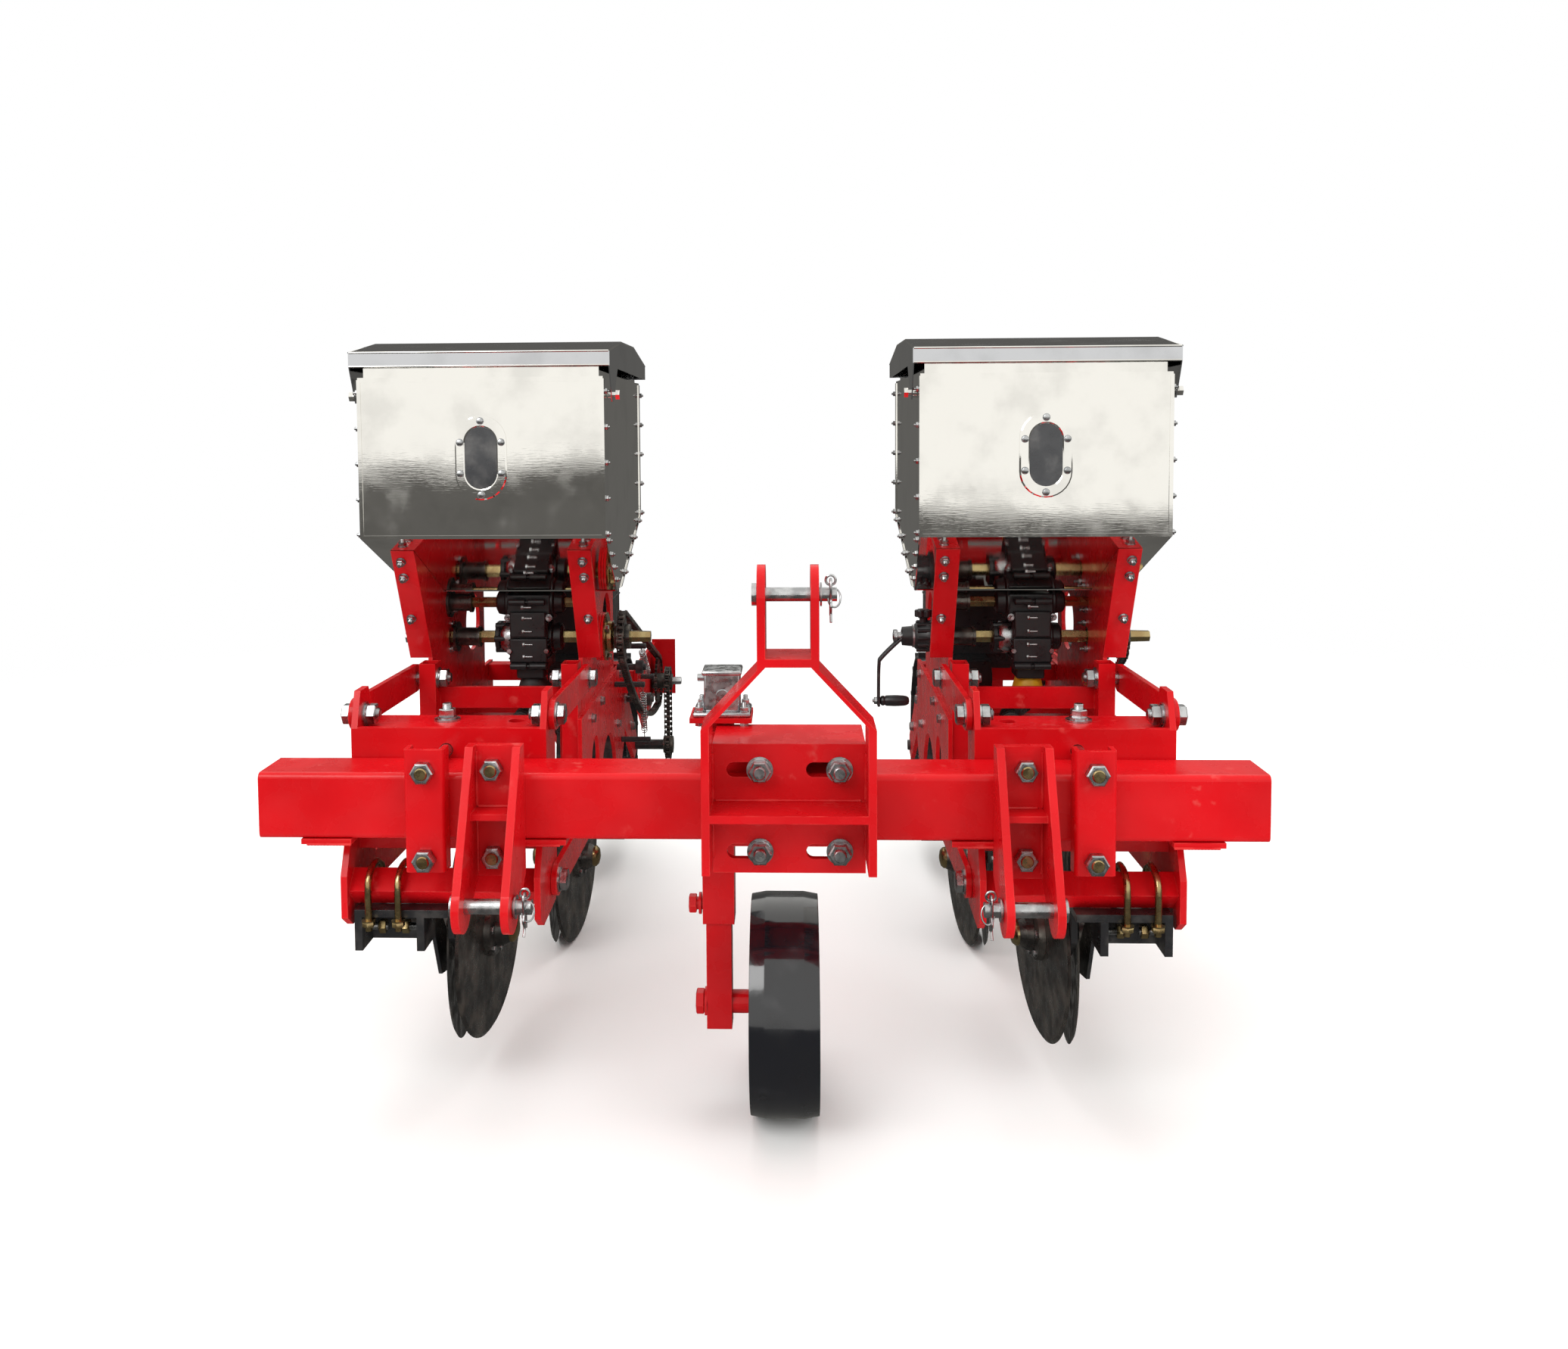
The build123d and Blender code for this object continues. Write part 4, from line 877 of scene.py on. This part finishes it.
def disc_hubs(node):
    """Gold dust cap and hub screws on a disc's outer face."""
    joint = joints[node + "_spin"]
    way = Vector(joint["axis"])
    faces_right = ("inner" in node) == ("left" in node)
    if (way.x > 0) != faces_right:
        way = -way
    centre = local(joint["pos_m"])
    gold = Form()
    cap = [(24, 25.5), (31, 25.2), (33, 22), (42, 21.5), (47, 17), (49.5, 9), (50, 2)]
    gold.turned(centre + way * 2, way, cap, 32)
    gold.piece(node + "_dust_cap", GOLD, "gold_zinc", node)
    screws = Form()
    across = way.orthogonal().normalized()
    over = way.cross(across)
    for i in range(6):
        angle = 2 * pi * i / 6
        spot = centre + 36.5 * (cos(angle) * across + sin(angle) * over) + way * 12
        screws.nut(spot, way, 11, 7)
    screws.piece(node + "_hub_screws", ZINC, "zinc", node)


# ---------------------------------------------------------------- chains and shafts

def chain_route(start, start_radius, end, end_radius, sag):
    """Points in Y and Z along a chain round two wheels, with slack in its lower run."""
    start, end = Vector(start), Vector(end)
    span = (end - start).length
    heading = atan2(end.y - start.y, end.x - start.x)
    lean = atan2(sqrt(span**2 - (start_radius - end_radius) ** 2), start_radius - end_radius)

    def spot(centre, radius, angle):
        return centre + radius * Vector((cos(angle), sin(angle)))

    up, down = heading + lean, heading - lean
    route = [spot(start, start_radius, up), spot(end, end_radius, up)]
    turn = 2 * lean
    route += [spot(end, end_radius, up - turn * i / 24) for i in range(1, 25)]
    one, other = route[-1], spot(start, start_radius, down)
    for i in range(1, 32):
        t = i / 32
        drop = 4 * sag * t * (1 - t)
        route.append(one.lerp(other, t) - Vector((0, drop)))
    turn = 2 * pi - 2 * lean
    route += [spot(start, start_radius, down - turn * i / 24) for i in range(24)]
    return route


def evenly(route, pitch):
    """Places along a closed route, one pitch apart as near as the whole number allows."""
    closed = [*route, route[0]]
    lengths = [(b - a).length for a, b in zip(closed, closed[1:])]
    total = sum(lengths)
    count = 2 * round(total / pitch / 2)
    step, places, walked, index = total / count, [], 0.0, 0
    for k in range(count):
        goal = k * step
        while walked + lengths[index] < goal:
            walked += lengths[index]
            index += 1
        share = (goal - walked) / lengths[index]
        places.append(closed[index].lerp(closed[index + 1], share))
    return places


def chain(form, x, route):
    """Rollers and pairs of waisted side plates, inner and outer by turns."""
    places = evenly(route, CHAIN_PITCH)
    for index, here in enumerate(places):
        ahead = places[(index + 1) % len(places)]
        form.rod((x - 4.2, here.x, here.y), X, 4.1, 8.4, 10, 0.3)
        along = (ahead - here).normalized()
        over = Vector((-along.y, along.x))
        outline = []
        for centre, sign in ((here, -1), (ahead, 1)):
            for k in range(5):
                angle = -pi / 2 + pi * k / 4
                spot = centre + sign * 5.4 * (cos(angle) * along + sin(angle) * over)
                outline.append(spot)
            outline.append(here.lerp(ahead, 0.5) + sign * 4.0 * over)
        for side in (-1, 1):
            inner = x + side * (4.3 if index % 2 else 5.8)
            form.plate([(inner, p.x, p.y) for p in outline], (side * 1.3, 0, 0))


def drive(name, x):
    """Chains, toothed wheels, hexagon shafts, tensioner springs and the bearing."""
    unit = f"{name}_unit"
    shaft = local(pivot(f"{name}_fertiliser_shaft_spin"))
    counter = local(pivot(f"{name}_countershaft_spin"))
    wheel = local(pivot(f"{name}_press_wheel_spin"))
    first, second = x + DRIVE_X, x + SECOND_DRIVE_X
    chains = Form()
    meter_radius, counter_radius = pitch_radius(METER_TEETH), pitch_radius(COUNTER_TEETH)
    wheel_radius = pitch_radius(WHEEL_TEETH)
    long_route = chain_route(shaft.yz, meter_radius, counter.yz, counter_radius, 58)
    short_route = chain_route(counter.yz, wheel_radius, wheel.yz, wheel_radius, -4)
    chain(chains, first, long_route)
    chain(chains, second, short_route)
    chains.piece(f"{name}_roller_chains", STEEL, "bare_steel", unit, (f"{name}_drive_chains",))

    body = f"{name}_fertiliser_shaft"
    low, high = local_box(body)
    gold = Form()
    gold.nut((low.x, shaft.y, shaft.z), X, SHAFT_SIZE, high.x - low.x)
    gold.piece(f"{body}_hexagon", GOLD, "gold_zinc", body, (body,))
    dark = Form()
    dark.ring((x - 123, shaft.y, shaft.z), X, 12.8, 18, 40, 32)
    dark.ring((x - 128, shaft.y, shaft.z), X, 12.8, 30, 5, 32)
    dark.ring((x - 83, shaft.y, shaft.z), X, 12.8, 20.5, 5, 32)
    dark.sprocket((first, shaft.y, shaft.z), METER_TEETH, 6)
    dark.ring((first - 15, shaft.y, shaft.z), X, 13, 24, 30, 32)
    dark.piece(f"{body}_sprocket", STEEL, "bare_steel", body)

    body = f"{name}_countershaft"
    low, high = local_box(body)
    dark = Form()
    dark.sprocket((first, counter.y, counter.z), COUNTER_TEETH, 6)
    dark.sprocket((second, counter.y, counter.z), WHEEL_TEETH, 6)
    dark.rod((low.x, counter.y, counter.z), X, 15, 7)
    dark.rod((low.x + 6, counter.y, counter.z), X, 10, 20)
    dark.rod((first - 13.5, counter.y, counter.z), X, 19, 40)
    dark.rod((second - 2, counter.y, counter.z), X, 17, 14)
    dark.piece(f"{body}_sprockets", STEEL, "bare_steel", body, (body,))
    end = Form()
    end.nut((second, counter.y, counter.z), X, 17, high.x - second)
    end.piece(f"{body}_hexagon_end", ZINC, "zinc", body)

    hub = Form()
    hub.sprocket((second, wheel.y, wheel.z), WHEEL_TEETH, 6)
    hub.ring((second - 12, wheel.y, wheel.z), X, 12.6, 21, 24, 32)
    hub.piece(f"{name}_press_wheel_sprocket", STEEL, "bare_steel", f"{name}_press_wheel")

    springs = Form()
    spring_ends = (
        ((first + 4, 900, 66), (first + 4, 1010, -2)),
        ((first + 10, 860, -20), (first + 4, 930, -118)),
    )
    for start, finish in spring_ends:
        coil(springs, start, finish, 6.5, 1.1, 16, 10)
        gap = (Vector(finish) - Vector(start)).normalized()
        springs.bar([Vector(start) - gap * 26, Vector(start) + gap * 4], 1.1, 8)
        springs.bar([Vector(finish) - gap * 4, Vector(finish) + gap * 26], 1.1, 8)
    springs.piece(f"{name}_tensioner_springs", ZINC, "zinc", unit)
    posts = Form()
    for y, z in ((874, 82), (1034, -16), (843, 4), (946, -141)):
        posts.rod((x + PLATE_OUT, y, z), X, 6, first + 16 - x - PLATE_OUT)
    for y, z in ((886, 34), (1040, -70)):
        posts.ring((first - 8, y, z), X, 7, 15, 16, 24)
        posts.rod((x + PLATE_OUT, y, z), X, 7, first + 14 - x - PLATE_OUT)
    posts.piece(f"{name}_tensioner_posts", BLACK, "black_paint", unit)

    out = x + PLATE_OUT
    rings = Form()
    for i in range(3):
        rings.ring((out + 0.2 + i * 5.4, shaft.y, shaft.z), X, 20, 47.5, 4.6, 48)
    rings.piece(f"{name}_bearing_packing_rings", RED, "red_paint", unit)
    cup = Form()
    profile = [
        (0, 13), (0, 48), (3, 48), (3, 33), (5, 30), (13, 29.5), (16, 26), (16, 19), (14, 18), (14, 13),
    ]
    cup.turned((out + 16.2, shaft.y, shaft.z), X, profile, 40, closed=True)
    cup.ring((out - UNIT_PLATE - 7, shaft.y, shaft.z), X, 13, 17, 22)
    cup.piece(f"{name}_bearing_cup", GOLD, "gold_zinc", unit, (f"{name}_shaft_bearing",))
    screws = Form()
    for i in range(3):
        angle = 2 * pi * i / 3 + 0.5
        screws.nut((out + 19.2, shaft.y + 40 * cos(angle), shaft.z + 40 * sin(angle)), X, 12, 8)
    screws.piece(f"{name}_bearing_screws", ZINC, "zinc", unit)


def coil(form, start, finish, radius, wire, turns, steps=14):
    """A helical spring between two points, with its end turns closed up."""
    start, finish = Vector(start), Vector(finish)
    along = (finish - start).normalized()
    across = along.orthogonal().normalized()
    over = along.cross(across)
    length = (finish - start).length
    points = []
    count = turns * steps
    for i in range(count + 1):
        share = i / count
        eased = share - 0.9 / turns / (2 * pi) * sin(2 * pi * share)
        angle = 2 * pi * turns * share
        points.append(start + along * length * eased + radius * (cos(angle) * across + sin(angle) * over))
    form.bar(points, wire, 8)


def pressure_spring(name):
    """Coil spring between the bracket and the link, and its top bolt."""
    node = f"{name}_pressure_spring"
    low, high = local_box(node)
    sx = (low.x + high.x) / 2
    top = Vector((sx, SPRING_TOP[0], SPRING_TOP[1]))
    foot = Vector((sx, SPRING_FOOT[0], SPRING_FOOT[1]))
    foot -= (foot - top).normalized() * 15
    way = (foot - top).normalized()
    form = Form()
    coil(form, top + way * 4, foot - way * 4, 16.5, 3.4, 15)
    made = form.piece(f"{name}_coil_spring", ZINC, "zinc", None, (node,))
    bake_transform(made)
    seat = Form()
    bolt_y = SPRING_TOP[0] - 8
    seat.ring((sx, bolt_y, 90.2), Z, 8, 21, 3)
    seat.ring((sx, bolt_y, 93.2), Z, 8, 15, 3)
    seat.nut((sx, bolt_y, 96.2), Z, 24, 13)
    seat.thread((sx, bolt_y, 109), Z, 7.8, 9)
    seat.rod((sx, bolt_y, 81.8), -Z, 8, 12)
    seat.piece(f"{name}_spring_bolt", ZINC, "zinc", "frame")


# ---------------------------------------------------------------- fertiliser hopper

def hopper_trim(name, x):
    """Folded seams, flange screws, window ring with its screws and pane, and rolled lid hems."""
    unit = f"{name}_unit"
    front, rear = HOPPER_FRONT, local_box(f"{name}_fertiliser_hopper")[1].y
    half = HOPPER_WIDTH / 2
    seams, screws = Form(), Form()
    for side in (-1, 1):
        wall = x + side * half
        for y, way in ((front, 1), (rear, -1)):
            seams.block(wall, wall + side * 1.6, y, y + way * 17, HOPPER_KNEE, HOPPER_TOP - 4)
            for i in range(5):
                z = HOPPER_TOP - 26 - i * 62
                small_screw(screws, (wall + side * 1.6, y + way * 9, z), X * side)
        seams.block(wall - side * 5, wall + side * 1.6, front - 1.4, front, HOPPER_KNEE, HOPPER_TOP - 4)
        for y, way in ((front, 1), (rear, -1)):
            edge_low = OUTLET_FRONT if way > 0 else OUTLET_FRONT + OUTLET_LENGTH
            knee = Vector((wall + side * 0.2, y, HOPPER_KNEE))
            foot = Vector((wall - side * 16.8, edge_low, HOPPER_OUTLET))
            for i in range(4):
                spot = knee.lerp(foot, 0.12 + 0.24 * i) + Vector((side, way * 12, 6))
                small_screw(screws, spot, X * side)
            ridge = [knee, knee + Y * way * 18, foot + Y * way * 16, foot]
            seams.plate(ridge, (side * 1.6, 0, 0))
    seams.block(x - half, x + half, front - 1.2, front, HOPPER_KNEE - 1, HOPPER_KNEE + 5)
    seams.block(x - half, x + half, front - 1.2, front, HOPPER_TOP - 8, HOPPER_TOP - 1)
    seams.piece(f"{name}_hopper_seams", STAINLESS, "stainless", unit)
    screws.piece(f"{name}_hopper_flange_screws", ZINC, "zinc", unit)

    ring_low, ring_high = local_box(f"{name}_hopper_window")
    z, wide, tall = (ring_low.z + ring_high.z) / 2, 45.0, 73.5
    ring = Form()
    ring.skin([
        stadium(x, front - 0.2, z, wide, tall), stadium(x, front - 2.0, z, wide, tall),
        stadium(x, front - 3.4, z, wide - 2.4, tall - 2.4), stadium(x, front - 3.4, z, 30.0, 56.5),
        stadium(x, front - 2.2, z, 28.2, 54.2), stadium(x, front - 0.2, z, 28.2, 54.2),
    ], closed=True)
    ring.piece(f"{name}_window_ring", STAINLESS, "window", unit, (f"{name}_hopper_window",), angle=20)
    # The pane's near-black colour is painted shade of the hopper's inside.
    pane = Form()
    pane.skin([stadium(x, front - 0.3, z, 28, 54), stadium(x, front - 1.8, z, 28, 54)])
    pane.piece(f"{name}_window_pane", PANE_PAINTED_SHADE, "window", unit)
    heads = Form()
    for dx, dz in ((0, 64), (0, -64), (36, 27), (-36, 27), (36, -27), (-36, -27)):
        heads.ring((x + dx, front - 3.3, z + dz), -Y, 2, 6.6, 1)
        heads.nut((x + dx, front - 4.2, z + dz), -Y, 10, 4)
    heads.piece(f"{name}_window_screws", ZINC, "zinc", unit)

    lid = f"{name}_hopper_lid"
    low, high = local_box(lid)
    hems = Form()
    for z in (LID_SKIRT, LID_EAVES):
        hems.bar([(low.x + 1.5, low.y + 0.6, z), (high.x - 1.5, low.y + 0.6, z)], 2.0, 10)
    for side_x in (low.x + 0.8, high.x - 0.8):
        line = [
            (side_x, low.y, LID_EAVES), (side_x, low.y + 155, high.z - 2),
            (side_x, high.y - 200, high.z - 2), (side_x, high.y - 1, LID_EAVES - 7),
        ]
        hems.bar(line, 1.7, 8)
    hems.piece(f"{name}_lid_hems", STAINLESS, "stainless", lid)


def stadium(x, y, z, half_wide, half_tall, steps=14):
    """An upright slot outline at a given depth."""
    straight = half_tall - half_wide
    points = []
    for lift, start in ((straight, 0.0), (-straight, pi)):
        for i in range(steps + 1):
            angle = start + pi * i / steps
            points.append((x + half_wide * cos(angle), y, z + lift + half_wide * sin(angle)))
    return points


def small_screw(form, place, way, size=6.0):
    """A little flange screw: washer, head and a stub of thread."""
    way = Vector(way)
    form.ring(place, way, 2, size * 0.95, 1.0, 14)
    form.nut(Vector(place) + way, way, size * 1.6, size * 0.7)
    form.rod(Vector(place) + way * size * 0.8, way, size * 0.42, size * 0.6, 10)


# ---------------------------------------------------------------- fertiliser meter

def meter(name, row, x):
    """Moulded housing with hinge barrels and covers, shaft cups, screws, outlet and hose."""
    unit = f"{name}_unit"
    shaft = local(pivot(f"{name}_fertiliser_shaft_spin"))
    mx, y, z = x + METER_SHIFT, shaft.y, shaft.z
    front = y - 50
    body = Form()
    body.block(mx - 37, mx + 37, front + 6, y + 38, z - 58, z + 36)
    body.block(mx - 45, mx + 42, front + 10, y + 40, z + 34, z + 88)
    body.block(mx - 35, mx + 35, front - 5, front + 8, z + 6, z + 56)
    body.block(mx - 37, mx + 37, front - 1, front + 8, z - 44, z + 4)
    body.block(mx - 27, mx + 27, front + 16, y + 30, z - 78, z - 56)
    node = f"{name}_fertiliser_meter"
    body.piece(f"{name}_meter_housing", PLASTIC, "black_plastic", unit, (node,), bevel=3.0)
    barrels = Form()
    for lift, depth in ((76, 8), (-50, 2)):
        for start in (-35, 3):
            barrels.rod((mx + start, front - depth, z + lift), X, 6.5, 32)
        barrels.rod((mx - 36, front - depth, z + lift), X, 3, 72)
    for rib in range(5):
        rib_z = z - 36 + rib * 9
        barrels.bar([(mx - 38, front + 3, rib_z), (mx - 38, y + 34, rib_z)], 1.8, 8)
        barrels.bar([(mx + 38, front + 3, rib_z), (mx + 38, y + 34, rib_z)], 1.8, 8)
    for side, radius in ((-1, 26), (1, 24)):
        wall = mx + side * 41
        profile = [
            (0, 13), (0, radius + 6), (5, radius + 6), (7, radius), (22, radius - 3), (26, 16), (26, 13),
        ]
        barrels.turned((wall, y - 10, z + 70), X * side, profile, 32, closed=True)
    profile = [(0, 13), (0, 33), (6, 33), (8, 27), (22, 26), (26, 20), (26, 13)]
    barrels.turned((mx + 36, y, z), X, profile, 36, closed=True)
    barrels.ring((mx - 70, y, z), X, 13, 30, 8, 36)
    for i in range(6):
        angle = 2 * pi * i / 6
        barrels.rod((mx - 71, y + 27 * cos(angle), z + 27 * sin(angle)), X, 6, 30)
    barrels.piece(f"{name}_meter_hinges_and_bosses", PLASTIC, "black_plastic", unit, bevel=0.8)
    cup = Form()
    profile = [(0, 13), (0, 33), (12, 33), (20, 30.5), (25, 26), (27, 13)]
    cup.turned((mx - 37, y, z), -X, profile, 40, closed=True)
    cup.piece(f"{name}_meter_shaft_cup", ZINC, "zinc", unit)
    screws = Form()
    for lift, depth in ((66, 10), (44, 5), (18, 5), (-8, 1), (-32, 1)):
        place = Vector((mx, front - depth, z + lift))
        screws.rod(place + X * 9, -X, 2.1, 18, 10)
        screws.nut(place - X * 11, X, 7, 5)
    for side in (-1, 1):
        screws.bolt_end((mx + side * 40, front + 4, z + 44), -Y, 7, 0.8)
        screws.nut((mx + side * 36, front - 2, z - 20), -Y, 9, 5)
    for plate_side in (-1, 1):
        wall = x + plate_side * (PLATE_IN - UNIT_PLATE)
        for dz, dy in ((24, 10), (-24, -10), (96, 4), (52, -6)):
            screws.bolt_end((wall, y + dy, z + dz), X * -plate_side, 7, 1.1)
    screws.piece(f"{name}_meter_screws", ZINC, "zinc", unit)
    upper = Form()
    wall = x - PLATE_IN + UNIT_PLATE
    upper.nut((wall, y - 10, z + 70), X, SHAFT_SIZE - 3, 2 * (PLATE_IN - UNIT_PLATE))
    upper.piece(f"{name}_agitator_shaft", GOLD, "gold_zinc", unit)
    sleeve = Form()
    sleeve.ring((wall, y - 10, z + 70), X, 12, 17.5, 44, 32)
    sleeve.ring((wall, y - 10, z + 70), X, 12, 30, 5, 32)
    sleeve.ring((wall + 42, y - 10, z + 70), X, 12, 20, 5, 32)
    sleeve.piece(f"{name}_agitator_sleeve", STEEL, "bare_steel", unit)
    outlet = Form()
    outlet.ring((mx, y, z - 56), -Z, 20, 26, 18, 36)
    outlet.piece(f"{name}_meter_outlet", PLASTIC, "black_plastic", unit)
    clamp = Form()
    clamp.ring((mx, y, z - 62), -Z, 26, 27.4, 9, 36)
    clamp.rod((mx - 14, y - 27, z - 66), X, 4, 16)
    clamp.piece(f"{name}_hose_clamp", GOLD, "gold_zinc", unit)
    hose(name, row, mx, y, z)
    adjuster(name, x, y, z)


def hose(name, row, mx, y, z):
    """Boot and ribbed drop tube from the meter forward into the opener's funnel."""
    end_x = mx - METER_SHIFT - row * 30
    boot = Form()
    profile = [(0, 15), (0, 20), (4, 24), (26, 30), (34, 29), (34, 22)]
    boot.turned((mx, y, z - 74), -Z, profile, 40, closed=True)
    look = YELLOW if row > 0 else RUBBER
    boot.piece(f"{name}_hose_boot", look, "hose", f"{name}_unit")
    route = [
        (mx, y, z - 78), (mx, y, z - 100), (mx - 6 * row, y - 16, z - 124),
        (end_x, y - 120, z - 132), (end_x, y - 300, z - 132), (end_x, y - 385, z - 136),
        (end_x, y - 405, z - 160), (end_x, y - 407, z - 236),
    ]
    line = curve(route, 12)
    tube = Form()
    tube.bar(line, 16, 18)
    walked = 0.0
    for before, after in zip(line, line[1:]):
        walked += (after - before).length
        if walked > 9:
            walked = 0.0
            tube.ring(before, (after - before).normalized(), 15.5, 18, 4, 18)
    tube.piece(f"{name}_ribbed_hose", RUBBER, "hose", f"{name}_unit", (f"{name}_fertiliser_hose",))


def adjuster(name, x, y, z):
    """Ribbed hub and dial of the rate adjuster, with the clamping knob on top."""
    unit = f"{name}_unit"
    out = x - PLATE_OUT
    hub = Form()
    hub.rod((out - 0.5, y, z), -X, 38, 8, 48)
    hub.turned((out - 8, y, z), -X, [(0, 30), (10, 30), (14, 27), (32, 25), (36, 20), (58, 18), (60, 10)], 40)
    for rib in range(12):
        angle = 2 * pi * rib / 12
        spot = Vector((out - 10, y + 28 * cos(angle), z + 28 * sin(angle)))
        hub.rod(spot, -X, 3.4, 28, 10)
    hub.rod((out - 24, y, z + 18), Z, 8, 24)
    for lobe in range(6):
        angle = 2 * pi * lobe / 6
        hub.rod((out - 24 + 12 * cos(angle), y + 12 * sin(angle), z + 38), Z, 5.5, 14, 14, 2)
    hub.rod((out - 24, y, z + 36), Z, 13, 17, 24, 3)
    hub.piece(f"{name}_rate_adjuster", PLASTIC, "black_plastic", unit)
    dial = Form()
    dial.ring((out - 40, y, z), -X, 18, 22, 6, 40)
    if name == "left":
        dial.nut((out - 66, y, z), -X, 22, 8)
    dial.piece(f"{name}_adjuster_ring", ZINC, "zinc", unit)


def crank():
    """Cranked arm and turned handle of the right unit's rate adjuster."""
    body = "right_rate_crank"
    hub = local(pivot("right_rate_crank_turn"))
    low, high = local_box(body)
    tip_z, elbow_x = low.z + 10, low.x + 12
    arm = Form()
    route = [
        (hub.x + 4, hub.y, hub.z - 2), (hub.x - 8, hub.y, hub.z - 10), (elbow_x + 6, hub.y, hub.z - 42),
        (elbow_x + 1, hub.y, hub.z - 56), (elbow_x, hub.y, tip_z + 24), (elbow_x, hub.y, tip_z - 10),
    ]
    line = curve(route, 5)
    rings = []
    for i, point in enumerate(line):
        along = (line[min(i + 1, len(line) - 1)] - line[max(i - 1, 0)]).normalized()
        across = along.cross(Y)
        rings.append([
            point + across * 2.6 - Y * 12, point + across * 2.6 + Y * 12,
            point - across * 2.6 + Y * 12, point - across * 2.6 - Y * 12,
        ])
    arm.skin(rings)
    arm.piece("right_crank_arm", BLACK, "black_paint", body, (body,), bevel=0.8)
    grip = Form()
    profile = [
        (0, 6), (2, 9), (6, 10.2), (9, 8.6), (12, 10.4), (30, 11), (46, 10.2), (52, 9), (56, 6.5), (57, 3),
    ]
    grip.turned((elbow_x + 3, hub.y, tip_z), X, profile, 32)
    grip.piece("right_crank_grip", PLASTIC, "black_plastic", body)
    pin = Form()
    pin.rod((elbow_x - 12, hub.y, tip_z), X, 3.4, 14)
    pin.nut((elbow_x - 3, hub.y, tip_z), -X, 13, 6)
    pin.rod((hub.x - 18, hub.y, hub.z), X, 7.9, 28)
    pin.nut((hub.x - 9, hub.y, hub.z), -X, 24, 8)
    pin.piece("right_crank_pins", ZINC, "zinc", body)


# ---------------------------------------------------------------- unit frame and rear

def unit_trim(name, row, x):
    """Screws on the hopper stands' lips, plate screws, wheel arm bolts and seed hopper ribs."""
    unit = f"{name}_unit"
    lips = Form()
    lip_top, lip_low = Vector((0, 360, 344)), Vector((0, 470, 130))
    along = (lip_low - lip_top).normalized()
    outward = Vector((0, -along.z, along.y)).normalized()
    if outward.y > 0:
        outward = -outward
    for side in (-1, 1):
        for share in (0.10, 0.24, 0.62):
            spot = lip_top.lerp(lip_low, share) + X * (x + side * (PLATE_IN + 18)) + outward * 0.5
            lips.bolt_end(spot, outward, 9, 0.7)
        for y, z in ((520, 4), (640, 12), (930, 10), (884, -90), (500, -150)):
            lips.bolt_head((x + side * PLATE_OUT, y, z), X * side, 10)
    cx = x - row * OPENER_SHIFT
    for side in (-1, 1):
        for y, z in ((1010, -44), (1048, -72), (1190, -168)):
            lips.bolt_head((cx + side * 89.5, y, z), X * side, 12)
    lips.piece(f"{name}_unit_frame_screws", ZINC, "zinc", unit)
    low, high = local_box(f"{name}_seed_hopper")
    ribs = Form()
    for k in range(5):
        z = low.z + 40 + k * 66
        line = [
            (low.x, low.y, z), (high.x, low.y, z), (high.x, high.y - 14, z), (low.x, high.y - 14, z),
        ]
        ribs.bar(line, 2.6, 8, closed=True)
    ribs.piece(f"{name}_seed_hopper_ribs", PLASTIC, "black_plastic", unit)
    lid = f"{name}_seed_hopper_lid"
    low, high = local_box(lid)
    middle_x = (low.x + high.x) / 2
    latch = Form()
    latch.bar(curve([
        (middle_x - 34, low.y - 1, high.z - 9), (middle_x - 30, low.y - 12, high.z - 9),
        (middle_x, low.y - 15, high.z - 9), (middle_x + 30, low.y - 12, high.z - 9),
        (middle_x + 34, low.y - 1, high.z - 9),
    ], 6), 3.2, 10)
    latch.piece(f"{name}_seed_lid_handle", PLASTIC, "black_plastic", lid)
    press = local(pivot(f"{name}_press_wheel_spin"))
    hub = Form()
    for side in (-1, 1):
        face = cx + side * 70
        hub.ring((face, press.y, press.z), X * side, 12.6, 26, 6, 32)
        for i in range(6):
            angle = 2 * pi * i / 6
            spot = (cx + side * 4, press.y + 66 * cos(angle), press.z + 66 * sin(angle))
            hub.bolt_head(spot, X * side, 9)
    hub.piece(f"{name}_press_wheel_hub_bolts", ZINC, "zinc", f"{name}_press_wheel")


# ---------------------------------------------------------------- the whole machine

frame_fasteners()
welds()
spring_clips()
opener_u_bolts()
height_screw_cap()
post_bolts()
crank()
for unit_name, unit_row in ROWS:
    unit_x = unit_row * ROW_X
    unit_fasteners(unit_name)
    drive(unit_name, unit_x)
    pressure_spring(unit_name)
    hopper_trim(unit_name, unit_x)
    meter(unit_name, unit_row, unit_x)
    unit_trim(unit_name, unit_row, unit_x)
    for place in ("outer", "inner"):
        for kind in ("fertiliser", "seed"):
            disc_hubs(f"{unit_name}_{place}_{kind}_disc")
